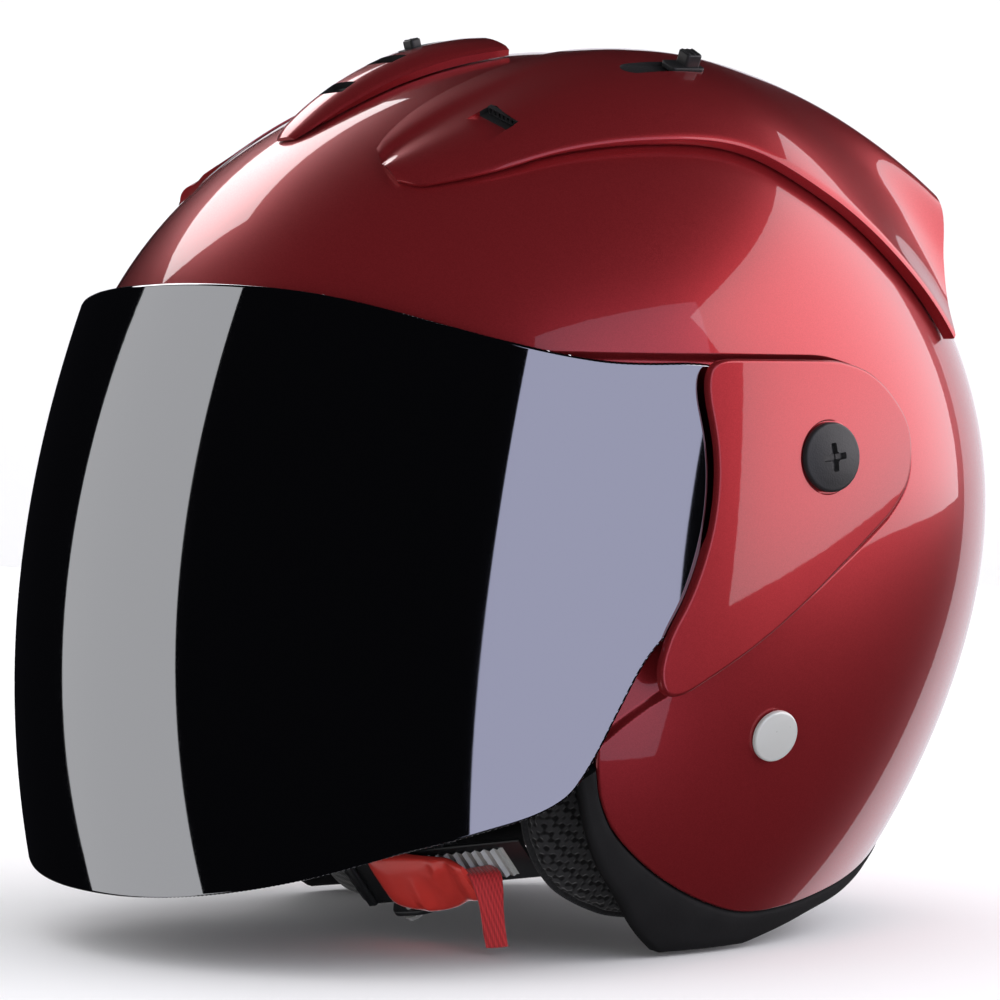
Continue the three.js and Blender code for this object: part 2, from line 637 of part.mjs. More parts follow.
function ventLoop(s) {
  const [alpha, width, height] = ventShape(s);
  const top = [-1, -0.82, -0.45, 0, 0.45, 0.82, 1].map((u) => {
    const h = height * (1 - 0.55 * pow(abs(u), 3));
    return crownPoint(alpha, u * width, h);
  });
  const under = [1, 0.5, 0, -0.5, -1].map((u) => crownPoint(alpha, u * width, WING_BASE));
  return [...top, ...under];
}

const VENT_SLIDER = [72.4, 1, 6.4];

function centreVent() {
  const shape = solid(loft(steps(16).map(ventLoop)));
  const slot = boxOnShell(VENT_SLIDER, [19, 7, 3], [0, 0, 0]);
  return surface(shape.subtract(slot));
}

function centreSlider() {
  const base = boxOnShell(VENT_SLIDER, [8, 5.8, 1.4], [-4.8, 0, -0.4]);
  return surface(base.add(boxOnShell(VENT_SLIDER, [3.6, 5, 3], [-4.8, 0, 1.2])));
}

add('centre_vent_cover', centreVent(), redPaint);
add('centre_vent_slider', centreSlider(), blackPlastic);

// The rear spoiler bridges the two wings over the crown and carries the exhaust grille.
const spoilerShape = through([[0, 96, 1.8], [0.12, 99, 3.2], [0.4, 109, 5.6], [0.7, 121, 8.8], [1, 133.5, 12.6]]);
const spoilerWidth = through([[0, 37], [0.4, 39], [1, 37]]);

function spoilerLoop(s) {
  const [alpha, height] = spoilerShape(s);
  const [width] = spoilerWidth(s);
  const top = [-1, -0.66, -0.33, 0, 0.33, 0.66, 1].map((u) => crownPoint(alpha, u * width, height));
  const under = [1, 0.66, 0.33, 0, -0.33, -0.66, -1].map((u) => crownPoint(alpha, u * width, WING_BASE));
  return [...top, ...under];
}

const GRILLE_PLACE = [133.5, 1, 6.5];

function rearSpoiler() {
  const mouth = boxOnShell(GRILLE_PLACE, [14, 50, 5.6], [0, 0, 0]);
  return surface(solid(loft(steps(12).map(spoilerLoop))).subtract(mouth));
}

add('rear_spoiler', rearSpoiler(), redPaint);
add('exhaust_grille', surface(boxOnShell(GRILLE_PLACE, [1.6, 49, 4.8], [-4.5, 0, 0])), blackPlastic);

// ---- chin strap ----------------------------------------------------------------------------

// The strap lies in a plane through both rivets that slopes down and forward to the chin:
// a place on it is x across and v down the slope, and its width runs square to that plane.
const SLOPE = new THREE.Vector3(0, -0.8, -0.6);
const ACROSS = new THREE.Vector3(0, -0.6, 0.8);
const PATH_STEPS = 60;
const strapPath = line([[99.5, -8], [99.5, 5], [97, 17], [90, 28.5], [77, 40], [60, 50.5], [38, 61], [14, 69],
  [-14, 71], [-38, 63.5], [-60, 50.5], [-77, 40], [-90, 28.5], [-97, 17], [-99.5, 5], [-99.5, -8]], PATH_STEPS);

function strapPoint(x, v, across) {
  return [x, RIVET.y + SLOPE.y * v + ACROSS.y * across, RIVET.z + SLOPE.z * v + ACROSS.z * across];
}

// A ribbon along part of the strap's path, lifted off it by an offset towards the chin's inside.
function ribbon(from, to, width, thick, offset = 0) {
  const loops = [];
  for (let i = from; i <= to; i += 1) {
    const [x, v] = strapPath[i];
    const [before, after] = [strapPath[max(i - 1, 0)], strapPath[min(i + 1, PATH_STEPS)]];
    const [dx, dv] = [after[0] - before[0], after[1] - before[1]];
    const size = hypot(dx, dv);
    const [nx, nv] = [dv / size, -dx / size];
    const corner = (side, w) => strapPoint(x - nx * (offset + side * thick / 2), v - nv * (offset + side * thick / 2), w);
    loops.push([corner(-1, -width / 2), corner(1, -width / 2), corner(1, width / 2), corner(-1, width / 2)]);
  }
  return loft(loops);
}

// The strap's local frame under the chin: along it to the wearer's left, across it, and out.
const BUCKLE_AT = 27;
const [buckleX, buckleV] = strapPath[BUCKLE_AT];

function buckleFrame() {
  const [nextX, nextV] = strapPath[BUCKLE_AT - 4];
  const [lastX, lastV] = strapPath[BUCKLE_AT + 4];
  const at = new THREE.Vector3(...strapPoint(buckleX, buckleV, 0));
  const along = new THREE.Vector3(...strapPoint(nextX - lastX, nextV - lastV, 0))
    .sub(new THREE.Vector3(...strapPoint(0, 0, 0))).normalize();
  const out = new THREE.Vector3().crossVectors(along, ACROSS).normalize();
  return new THREE.Matrix4().makeBasis(along, ACROSS, out).setPosition(at);
}

const BUCKLE = buckleFrame();
const inBuckle = (geometry) => geometry.applyMatrix4(BUCKLE);
const block = (x0, x1, y0, y1, z0, z1) => (
  new THREE.BoxGeometry(x1 - x0, y1 - y0, z1 - z0).translate((x0 + x1) / 2, (y0 + y1) / 2, (z0 + z1) / 2));

// A side profile, (along, out) points, given a width across the strap.
function profiled(points, width) {
  const shape = new THREE.Shape(points.map(([x, z]) => new THREE.Vector2(x, z)));
  const geometry = new THREE.ExtrudeGeometry(shape, { depth: width, bevelEnabled: false, steps: 1 });
  return geometry.translate(0, 0, -width / 2).rotateX(PI / 2);
}

const PIN = { x: -3, z: 4.6, radius: 1.8 };

function pinAlong(radius, length, segments = 18) {
  return new THREE.CylinderGeometry(radius, radius, length, segments).translate(PIN.x, 0, PIN.z);
}

// The strap's two halves, with a hole at each rivet where it runs through the webbing.
const ANCHOR_Z = RIVET.z + 16 * Math.tan(RIVET_TILT);
const anchorHole = sideHole({ y: RIVET.y, z: ANCHOR_Z }, 3.8);
const webbingHalf = (from, to) => surface(solid(ribbon(from, to, STRAP_WIDTH, STRAP_THICK)).subtract(anchorHole));
add('strap_webbing_left', webbingHalf(0, 18), webbing);
add('strap_webbing_right', webbingHalf(31, PATH_STEPS), webbing);
add('chin_pad', ribbon(33, 39, 27, 6, 4.4), cloth);

// Chrome rivets through the shell, and the steel anchor plates that they clamp.
const rivet = revolve([[0, -20], [2.4, -20], [2.4, 0.3], [RIVET_HEAD, 0.3], [RIVET_HEAD, 1], [RIVET_HEAD - 0.6, 1.7],
  [4, 2.1], [0, 2.2]], 24);
addTurned('strap_rivet', rivet, eggX(RIVET.y, RIVET.z), RIVET, steel, RIVET_TILT);
const anchor = solid(new THREE.BoxGeometry(1.5, 16, 22).translate(102.4, RIVET.y, ANCHOR_Z));
addPair('strap_anchor', surface(anchor.subtract(anchorHole)), steel);

// Quick-release buckle: a channel frame, a pin through its cheeks, and a lever on the pin.
function buckleBody() {
  let shape = solid(block(-26, 22, -12, 12, -1.5, 0.6));
  for (const side of [1, -1]) {
    const cheek = profiled([[-14, 0], [14, 0], [10, 5.6], [2, 7.6], [-9, 7.2]], 1.6).translate(0, side * 11.2, 0);
    shape = shape.add(solid(cheek));
  }
  return surface(shape.subtract(solid(pinAlong(PIN.radius + 0.25, 40))));
}

const pinProfile = [[0, -13.6], [3.6, -13.6], [3.6, -12.4], [PIN.radius, -12.4], [PIN.radius, 12.4], [3.6, 12.4],
  [3.6, 13.6], [0, 13.6]];

function buckleLever() {
  const side = [[-6.4, 3.4], [-5.4, 8], [-1, 9.6], [12, 8.2], [24, 9], [34, 12.5], [35, 11.2], [26, 6.8], [12, 5],
    [2, 3.3], [-3, 1.6]];
  const web = solid(profiled(side, 19.4));
  const spring = solid(block(-8.5, 3, -4.2, 4.2, -1, 12));
  return surface(web.subtract(solid(pinAlong(PIN.radius + 0.25, 30))).subtract(spring));
}

add('buckle_frame', inBuckle(buckleBody()), darkSteel);
add('buckle_pin', inBuckle(revolve(pinProfile, 18).translate(PIN.x, 0, PIN.z)), steel);
add('buckle_lever', inBuckle(buckleLever()), redPlastic);
add('lever_spring', inBuckle(surface(solid(pinAlong(3.4, 7)).subtract(solid(pinAlong(2.2, 9))))), steel);

// The toothed strip from the left webbing lies on the frame, under the lever's pawl.
const TOOTH = 3.6;
const TEETH = 12;

function ratchetStrip() {
  const toBuckle = BUCKLE.clone().invert();
  const places = strapPath.slice(12, BUCKLE_AT + 1).reverse()
    .map(([x, v]) => new THREE.Vector3(...strapPoint(x, v, 0)).applyMatrix4(toBuckle));
  const height = through(places.map((p) => [p.x, p.z + STRAP_THICK / 2 + 0.4]));
  const floor = (x) => (height(x)[0] + 1 + hypot(height(x)[0] - 1, 1)) / 2;
  const xs = steps(TEETH).map((t) => t * TEETH * TOOTH + 6);
  const under = xs.map((x) => [x, floor(x)]);
  const over = xs.slice(0, -3).flatMap((x) => [[x, floor(x) + 1.2], [x + TOOTH * 0.85, floor(x) + 2.3]]);
  const end = [xs.at(-1), floor(xs.at(-1)) + 1.2];
  return profiled([...under, end, ...over.reverse()], 13);
}

add('ratchet_strip', inBuckle(ratchetStrip()), darkSteel);

// Each cheek pad has a slit for its half of the strap and a pocket over the rivet's end.
function slitPad() {
  const slit = solid(ribbon(0, 24, STRAP_WIDTH + 3, STRAP_THICK + 6, 2));
  const pocket = new THREE.CylinderGeometry(12, 12, 30, 16).rotateZ(PI / 2).translate(108, RIVET.y, ANCHOR_Z);
  return surface(solid(cheekPad()).subtract(slit).subtract(solid(pocket)));
}

addPair('cheek_pad', slitPad(), cloth);

// The red ribbon sewn to the lever's free end hangs straight down.
function pullRibbon() {
  const top = new THREE.Vector3(35.6, 0, 9.5).applyMatrix4(BUCKLE);
  const places = line([[0, 0], [3, -7], [4.5, -14], [6.5, -23]], 8);
  return loft(places.map(([dx, dz]) => {
    const [x, y, z] = [top.x + dx + 1, top.y + 0.2 * dx, max(top.z + dz, FLOOR + 2.6)];
    return [[x - 0.7, y - 5, z], [x + 0.7, y - 5, z], [x + 0.7, y + 5, z], [x - 0.7, y + 5, z]];
  }));
}

add('pull_ribbon', pullRibbon(), redRibbon);

// ---- resting place -------------------------------------------------------------------------

// The origin is on the ground under the middle of the whole helmet.
const bounds = new THREE.Box3().setFromObject(helmet, true);
helmet.position.set(0, -(bounds.min.y + bounds.max.y) / 2, -bounds.min.z);

export default helmet;
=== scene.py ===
"""Looks of the motorcycle helmet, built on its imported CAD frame.

Lengths here are millimetres in the design frame of the part, where the pivot of the visor is at y 19, z 137;
to_row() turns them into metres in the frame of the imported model. Every piece on the shell is placed by
alpha (degrees about the egg's pole, 0 forward, 90 up), f (share of the mid-plane radius) and h (height over
the paint).
"""
import json
import math

import bmesh
import bpy
import numpy as np
from mathutils import Matrix, Vector
from mathutils.bvhtree import BVHTree
from mathutils.geometry import delaunay_2d_cdt


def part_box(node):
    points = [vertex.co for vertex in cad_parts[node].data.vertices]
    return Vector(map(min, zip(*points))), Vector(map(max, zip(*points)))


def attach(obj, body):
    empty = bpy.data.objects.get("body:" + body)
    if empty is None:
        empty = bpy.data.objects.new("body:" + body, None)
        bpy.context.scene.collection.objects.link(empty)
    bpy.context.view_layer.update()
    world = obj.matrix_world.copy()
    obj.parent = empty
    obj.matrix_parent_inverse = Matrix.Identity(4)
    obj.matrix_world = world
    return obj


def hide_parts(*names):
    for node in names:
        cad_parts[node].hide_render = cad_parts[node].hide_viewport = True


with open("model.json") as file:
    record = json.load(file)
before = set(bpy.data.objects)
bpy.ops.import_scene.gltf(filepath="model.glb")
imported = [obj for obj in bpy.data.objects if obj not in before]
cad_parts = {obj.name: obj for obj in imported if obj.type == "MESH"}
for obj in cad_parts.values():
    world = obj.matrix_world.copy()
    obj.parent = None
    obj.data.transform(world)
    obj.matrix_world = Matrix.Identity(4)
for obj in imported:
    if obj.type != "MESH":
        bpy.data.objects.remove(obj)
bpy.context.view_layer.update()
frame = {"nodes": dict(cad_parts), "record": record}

# ---- driving dimensions, as in the part ------------------------------------------------------

POLE = (12.0, 137.0)
HALF_WIDTH = 124.0
ROUND_OUT, ROUND_IN = 2.2, 2.14
MID_RADIUS = 140.5
MID_WAVES = [(8, -30.5), (-8.1, -5.6), (-2.9, 2.7), (1.2, 1.8)]
SHELL_WALL = 5.5
FLOOR = 2.0
PIVOT = (19.0, 137.0)
VISOR_WIDTH, VISOR_OUT, VISOR_IN, VISOR_WALL, VISOR_SEAT = 126.0, 2.5, 2.2, 2.0, 3.1
VISOR_REACH = 149.7                    # from the pivot straight forward
BUSH_RADIUS = 7.35                     # the hole in the visor's ear
VISOR_SWING, VISOR_LOWEST = 50.0, -48.0
EAR_RADIUS = 15.0
EAR_RISE = (15, 27)                    # between these distances from the pivot the visor rises from its ear
RIVET = (9.6, 63.0)
RIVET_TILT = 0.27

pivot_low, pivot_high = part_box("pivot_screw_left")
pivot_y, pivot_z = (pivot_low.y + pivot_high.y) * 500, (pivot_low.z + pivot_high.z) * 500
SHIFT = np.array([0.0, pivot_y - PIVOT[0], pivot_z - PIVOT[1]])


def to_row(points):
    return (np.asarray(points, float) + SHIFT) / 1000.0


# ---- small tools -----------------------------------------------------------------------------


def smooth(edge0, edge1, value):
    t = np.clip((value - edge0) / (edge1 - edge0), 0, 1)
    return t * t * (3 - 2 * t)


def mix(a, b, t):
    return a + (b - a) * t


def through(points):
    """A smooth function of one value through rows [value, result, result, ...] in rising order."""
    table = np.array(points, float)
    xs, ys = table[:, 0], table[:, 1:]
    slopes = np.empty_like(ys)
    for j in range(len(xs)):
        a, b = max(j - 1, 0), min(j + 1, len(xs) - 1)
        slopes[j] = (ys[b] - ys[a]) / (xs[b] - xs[a])

    def value(x):
        x = np.atleast_1d(np.asarray(x, float))
        i = np.clip(np.searchsorted(xs, x, side="left"), 1, len(xs) - 1)
        span = (xs[i] - xs[i - 1])[:, None]
        t = np.clip((x - xs[i - 1])[:, None] / span, 0, 1)
        return ((2 * t**3 - 3 * t**2 + 1) * ys[i - 1] + (t**3 - 2 * t**2 + t) * slopes[i - 1] * span
                + (3 * t**2 - 2 * t**3) * ys[i] + (t**3 - t**2) * slopes[i] * span)

    return value


def spline(places, count):
    """Points along a smooth open line through a few places."""
    p = np.array(places, float)
    out = []
    for t in np.linspace(0, 1, count + 1):
        u = t * (len(p) - 1)
        i = min(int(u), len(p) - 2) if t < 1 else len(p) - 1
        w = u - i
        p0, p1 = p[max(i - 1, 0)], p[i]
        p2, p3 = p[min(i + 1, len(p) - 1)], p[min(i + 2, len(p) - 1)]
        v0, v1 = (p2 - p0) * 0.5, (p3 - p1) * 0.5
        out.append((2 * p1 - 2 * p2 + v0 + v1) * w**3 + (-3 * p1 + 3 * p2 - 2 * v0 - v1) * w**2 + v0 * w + p1)
    return np.array(out)


def respaced(points, step, closed=False):
    """The same line with its points about one step apart."""
    p = np.array(points, float)
    if closed:
        p = np.vstack([p, p[:1]])
    length = np.concatenate([[0], np.cumsum(np.linalg.norm(np.diff(p, axis=0), axis=1))])
    count = max(int(round(length[-1] / step)), 3)
    at = np.linspace(0, length[-1], count + 1)
    out = np.column_stack([np.interp(at, length, p[:, k]) for k in range(p.shape[1])])
    return out[:-1] if closed else out


def inside(points, polygon):
    """True for each point inside a closed polygon."""
    x, y = points[:, 0], points[:, 1]
    result = np.zeros(len(points), bool)
    a, b = polygon, np.roll(polygon, -1, axis=0)
    for (x0, y0), (x1, y1) in zip(a, b):
        if y0 == y1:
            continue
        crosses = (y0 > y) != (y1 > y)
        result ^= crosses & (x < (x1 - x0) * (y - y0) / (y1 - y0) + x0)
    return result


def distance(points, polyline, closed=True):
    """Distance from each point to a polyline."""
    a = polyline
    b = np.roll(polyline, -1, axis=0)
    if not closed:
        a, b = a[:-1], b[:-1]
    best = np.full(len(points), 1e9)
    for p, q in zip(a, b):
        d = q - p
        t = np.clip(((points - p) @ d) / max(d @ d, 1e-12), 0, 1)
        best = np.minimum(best, np.linalg.norm(points - (p + t[:, None] * d), axis=1))
    return best


def placed(name, data):
    """A mesh, light or camera as an object of the scene."""
    thing = bpy.data.objects.new(name, data)
    bpy.context.scene.collection.objects.link(thing)
    return thing


def smooth_shaded(mesh):
    mesh.polygons.foreach_set("use_smooth", [True] * len(mesh.polygons))


def mesh_object(name, vertices, faces):
    """An object from points in millimetres."""
    mesh = bpy.data.meshes.new(name)
    mesh.from_pydata(to_row(vertices).tolist(), [], [list(f) for f in faces])
    mesh.update()
    smooth_shaded(mesh)
    return placed(name, mesh)


def crease(piece, degrees=35):
    """Smooth shading with sharp edges above an angle."""
    smooth_shaded(piece.data)
    with bpy.context.temp_override(object=piece, active_object=piece, selected_objects=[piece],
                                   selected_editable_objects=[piece]):
        bpy.ops.object.shade_smooth_by_angle(angle=math.radians(degrees))
    return piece


def fix_normals(piece):
    work = bmesh.new()
    work.from_mesh(piece.data)
    bmesh.ops.recalc_face_normals(work, faces=work.faces)
    work.to_mesh(piece.data)
    work.free()
    return piece


def apply_modifiers(piece):
    evaluated = piece.evaluated_get(bpy.context.evaluated_depsgraph_get())
    mesh = bpy.data.meshes.new_from_object(evaluated)
    piece.modifiers.clear()
    piece.data = mesh
    return piece


# a corner keeps the old shading when it lies this near the old surface (metres) and faces the same way
UNCUT_GAP, UNCUT_LEAN = 2e-4, 0.8


def cut(piece, cutters, keep_shading=True):
    """Cuts bodies out of a piece, and keeps the piece's own smooth shading right up to the cut."""
    source = piece.data.copy()
    tree = BVHTree.FromPolygons([v.co for v in source.vertices], [p.vertices for p in source.polygons])
    source_normals = [n.vector.copy() for n in source.corner_normals]
    for cutter in cutters:
        modifier = piece.modifiers.new("cut", "BOOLEAN")
        modifier.operation = "DIFFERENCE"
        modifier.solver = "EXACT"
        modifier.material_mode = "TRANSFER"
        modifier.object = cutter
        bpy.context.view_layer.update()
        apply_modifiers(piece)
        bpy.data.objects.remove(cutter)
    if not keep_shading:
        return crease(piece)
    mesh = piece.data
    loop_normals = [None] * len(mesh.loops)
    for polygon in mesh.polygons:
        centre, normal = polygon.center, polygon.normal
        for loop in polygon.loop_indices:
            at = mesh.vertices[mesh.loops[loop].vertex_index].co
            index, gap = tree.find_nearest(at.lerp(centre, 0.02))[2:]
            wanted = normal
            if gap is not None and gap < UNCUT_GAP:
                face = source.polygons[index]
                weights = [1.0 / max((source.vertices[v].co - at).length, 1e-7) for v in face.vertices]
                blended = Vector((0, 0, 0))
                for weight, corner in zip(weights, face.loop_indices):
                    blended += source_normals[corner] * weight
                blended.normalize()
                if blended.dot(normal) > UNCUT_LEAN:
                    wanted = blended
            loop_normals[loop] = wanted
    smooth_shaded(mesh)
    mesh.normals_split_custom_set(loop_normals)
    return piece


# ---- the egg and the visor's surface -----------------------------------------------------------


def mid_radius(alpha):
    a = np.radians(alpha)
    total = MID_RADIUS + 0 * a
    for k, (c, s) in enumerate(MID_WAVES, 1):
        total = total + c * np.cos(k * a) + s * np.sin(k * a)
    return total


def shell_point(alpha, f, h):
    alpha, f, h = np.broadcast_arrays(np.asarray(alpha, float), f, h)
    rho = f * (mid_radius(alpha) + h)
    a = np.radians(alpha)
    x = (HALF_WIDTH + h) * np.maximum(0, 1 - f**ROUND_OUT) ** (1 / ROUND_IN)
    return np.stack([x, POLE[0] - rho * np.cos(a), POLE[1] + rho * np.sin(a)], -1)


def shell_place(y, z, h=0.0):
    """alpha and f of a side-view place."""
    alpha = np.degrees(np.arctan2(z - POLE[1], POLE[0] - y))
    return alpha, np.hypot(z - POLE[1], POLE[0] - y) / (mid_radius(alpha) + h)


def egg_x(y, z, h=0.0):
    _, f = shell_place(y, z, h)
    return (HALF_WIDTH + h) * np.maximum(0, 1 - np.minimum(f, 1) ** ROUND_OUT) ** (1 / ROUND_IN)


def frame_matrix(directions, at):
    """Three directions and a place in millimetres as a matrix in metres."""
    result = Matrix.Identity(4)
    for column, direction in enumerate(directions):
        for row in range(3):
            result[row][column] = direction[row]
    result.translation = Vector(to_row(at))
    return result


# turns for outlines drawn in a frame: standing along its first direction, or facing along it
STANDING = Matrix(((1, 0, 0, 0), (0, 0, 1, 0), (0, 1, 0, 0), (0, 0, 0, 1)))
FACING = Matrix(((0, 0, 1, 0), (1, 0, 0, 0), (0, 1, 0, 0), (0, 0, 0, 1)))


def shell_frame(alpha, f, h):
    """Rear, down and out directions on the shell, and the place, as a matrix in metres."""
    at = shell_point(alpha, f, h)
    rear = shell_point(alpha + 1, f, h) - at
    down = shell_point(alpha, f - 0.01, h) - at
    rear, down = rear / np.linalg.norm(rear), down / np.linalg.norm(down)
    if f == 1:
        down = np.array([1.0, 0, 0])
    out = np.cross(down, rear)
    out /= np.linalg.norm(out)
    return frame_matrix((rear, -np.cross(rear, out), out), at)


def visor_radius(theta):
    t = np.minimum(theta, 21.5) / 60
    return VISOR_REACH - 38 * t + 53.1 * t * t - 2.4 * t**3


def about_pivot(y, z):
    return np.hypot(z - PIVOT[1], PIVOT[0] - y), np.degrees(np.arctan2(z - PIVOT[1], PIVOT[0] - y))


def from_pivot(r, theta):
    """Side-view places at a distance and an angle from the pivot."""
    a = np.radians(theta)
    return np.column_stack([PIVOT[0] - r * np.cos(a), PIVOT[1] + r * np.sin(a)])


def visor_x_at(r, theta):
    f = np.minimum(r / visor_radius(theta), 1)
    return VISOR_WIDTH * (1 - f**VISOR_OUT) ** (1 / VISOR_IN) - VISOR_SEAT * (1 - smooth(*EAR_RISE, r))


# the visor's upper and lower edges: share of its reach, and the angle there in degrees
visor_top = through([[0.08, 50], [0.19, 44], [0.293, 35.3], [0.4, 25.7], [0.5, 21.0], [0.66, 19.1],
                     [0.9, 19.6], [1, 19.3]])
visor_bottom = through([[0.08, -50], [0.23, -44.1], [0.354, -43.6], [0.426, -46.8], [0.478, -49],
                        [0.53, -49.6], [0.65, -45.3], [0.75, -42.1], [0.86, -39.8], [1, -37.3]])

# ---- outlines in side view, as in the part -----------------------------------------------------

port_edge = spline([[-128, 162], [-106, 162], [-86, 157], [-70, 143], [-60, 122], [-52, 98], [-45, 72],
                    [-42.5, 56]], 60)
neck_edge = spline([[-42.5, 56], [-40, 47.5], [-34.5, 38.5], [-25, 30], [-13.6, 22.8], [0, 16.8], [15, 12.8],
                    [31, 12.8], [49, 15.2], [68, 19], [90, 26], [112, 34], [140, 41]], 90)
free_edge = np.vstack([port_edge, neck_edge[1:]])
binding_edge = np.vstack([
    spline([[-47.5, 52], [-45.4, 47.5], [-42, 38.5], [-36, 27.5], [-27.5, 17.5], [-19.5, 8.5],
            [-11, FLOOR]], 40),
    spline([[20, FLOOR], [32, 5], [46, 9], [62, 12], [80, 17.5], [100, 24], [120, 30], [140, 34]], 50)])


def rounded(points, step, passes=3):
    """A closed outline with even points and softened corners."""
    loop = respaced(points, step, closed=True)
    for _ in range(passes):
        loop = 0.5 * loop + 0.25 * (np.roll(loop, 1, axis=0) + np.roll(loop, -1, axis=0))
    return loop


plate_outline = rounded(np.vstack([
    spline([[-15, 162.7], [-19.3, 160.8], [-20.6, 156]], 8),
    spline([[-20.4, 152], [-18.4, 141], [-18, 131], [-19.2, 120.5], [-22, 110], [-26, 100], [-31, 91],
            [-33.4, 83]], 30),
    spline([[-33.2, 79.5], [-31.8, 75.8], [-28.6, 74.6]], 6),
    spline([[-24, 76], [-4.8, 86.5], [10.6, 96.5], [27.3, 108.6], [41.5, 118.7]], 12),
    spline([[45.5, 121.5], [53, 131], [52.6, 144], [44.5, 153.5], [34, 160], [22, 162.7]], 24),
    spline([[13, 162.7], [-6, 162.7]], 2)]), 1.3)

field_line = respaced(np.vstack([
    spline([[-160, 175], [-110, 166.5], [-70, 164.4], [-21, 163.6], [22, 163.6]], 30),
    spline([[34.4, 160.7], [45.1, 154.1], [53.3, 144.3], [53.8, 131], [46, 121]], 16),
    spline([[41.9, 118], [27.6, 107.9], [10.9, 95.8], [-4.5, 85.8], [-28.5, 73.6]], 14),
    spline([[-37, 67.5], [-60, 51], [-160, 0]], 10)]), 2.4)
for _ in range(3):
    field_line[1:-1] = 0.5 * field_line[1:-1] + 0.25 * (field_line[:-2] + field_line[2:])

# ---- surfaces over a flat layout -----------------------------------------------------------------


def disc(angle, f, power):
    """Flat layout of the egg's left half: the mid-plane becomes a circle of radius pi/2."""
    psi = np.arcsin(np.clip(f, 0, 1) ** power)
    a = np.radians(angle)
    return np.stack([psi * np.cos(a), psi * np.sin(a)], -1)


def undisc(flat, power):
    psi = np.minimum(np.hypot(flat[:, 0], flat[:, 1]), math.pi / 2)
    return np.degrees(np.arctan2(flat[:, 1], flat[:, 0])), np.sin(psi) ** (1 / power)


def up_to_rim(angle, f):
    """The stretch of a line that is inside the mid-plane circle, its ends moved exactly onto it."""
    keep_from = 0
    keep_to = len(f) - 1
    angle, f = angle.copy(), f.copy()
    if f[0] > 1:
        keep_from = int(np.argmax(f <= 1)) - 1
        t = (f[keep_from] - 1) / (f[keep_from] - f[keep_from + 1])
        angle[keep_from] = mix(angle[keep_from], angle[keep_from + 1], t)
        f[keep_from] = 1
    if f[-1] > 1:
        keep_to = len(f) - int(np.argmax(f[::-1] <= 1))
        t = (f[keep_to] - 1) / (f[keep_to] - f[keep_to - 1])
        angle[keep_to] = mix(angle[keep_to], angle[keep_to - 1], t)
        f[keep_to] = 1
    return angle[keep_from:keep_to + 1], f[keep_from:keep_to + 1]


def beside(points, offset, closed=False):
    """A line moved sideways by an offset, to the left of its direction in (y, z)."""
    p = np.asarray(points, float)
    if closed:
        d = np.roll(p, -1, axis=0) - np.roll(p, 1, axis=0)
    else:
        d = np.gradient(p, axis=0)
    d /= np.maximum(np.linalg.norm(d, axis=1), 1e-9)[:, None]
    return p + offset * np.column_stack([-d[:, 1], d[:, 0]])


ROW_SHARE = 0.866                      # the height of an even triangle as a share of its side


def lattice(step, polygon, margin, rows=()):
    """Points of a triangular lattice inside a polygon, clear of its edge and of the rows."""
    low, high = polygon.min(0), polygon.max(0)
    columns = np.arange(low[0], high[0], step)
    heights = np.arange(low[1], high[1], step * ROW_SHARE)
    grid = np.array([[x + (j % 2) * step / 2, y] for j, y in enumerate(heights) for x in columns])
    grid = grid[inside(grid, polygon)]
    grid = grid[distance(grid, polygon) > margin]
    for row in rows:
        grid = grid[distance(grid, row, closed=False) > margin]
    return grid


def triangulated(loops, points, holes=()):
    """Flat points and triangles that fill the loops and pass through every point."""
    flat, edges = [], []
    for loop in [*loops, *holes]:
        start = len(flat)
        flat += [Vector(p) for p in loop]
        edges += [(start + i, start + (i + 1) % len(loop)) for i in range(len(loop))]
    flat += [Vector(p) for p in points]
    out, _, faces, *_ = delaunay_2d_cdt(flat, edges, [], 1, 1e-9)
    out = np.array([tuple(p) for p in out])
    faces = np.array([list(f) for f in faces])
    centres = out[faces].mean(1)
    for hole in holes:
        faces = faces[~inside(centres, np.asarray(hole))]
        centres = out[faces].mean(1)
    a, b, c = (out[faces[:, k]] for k in range(3))
    turn = (b - a)[:, 0] * (c - a)[:, 1] - (b - a)[:, 1] * (c - a)[:, 0]
    flipped = turn < 0
    faces[flipped] = faces[flipped][:, [0, 2, 1]]
    return out, faces[np.abs(turn) > 1e-12]


def edge_drop(gap, radius):
    """How far a rounded edge falls at a distance from the edge."""
    reach = np.clip(radius - gap, 0, radius)
    return radius - np.sqrt(np.maximum(radius**2 - reach**2, 0))


def slopes_of(surface, flat, step):
    """Unit normals of a surface over flat points, made from its tangents outward from the flat centre and
    around it.
    """
    size = np.maximum(np.linalg.norm(flat, axis=1), 1e-9)[:, None]
    away = flat / size
    around = np.column_stack([-away[:, 1], away[:, 0]])
    here = surface(flat)
    radial = here - surface(flat - away * step)
    turning = surface(flat + around * step) - surface(flat - around * step)
    normal = np.cross(radial, turning)
    return normal / np.maximum(np.linalg.norm(normal, axis=1), 1e-12)[:, None]


MIRROR = [-1, 1, 1]


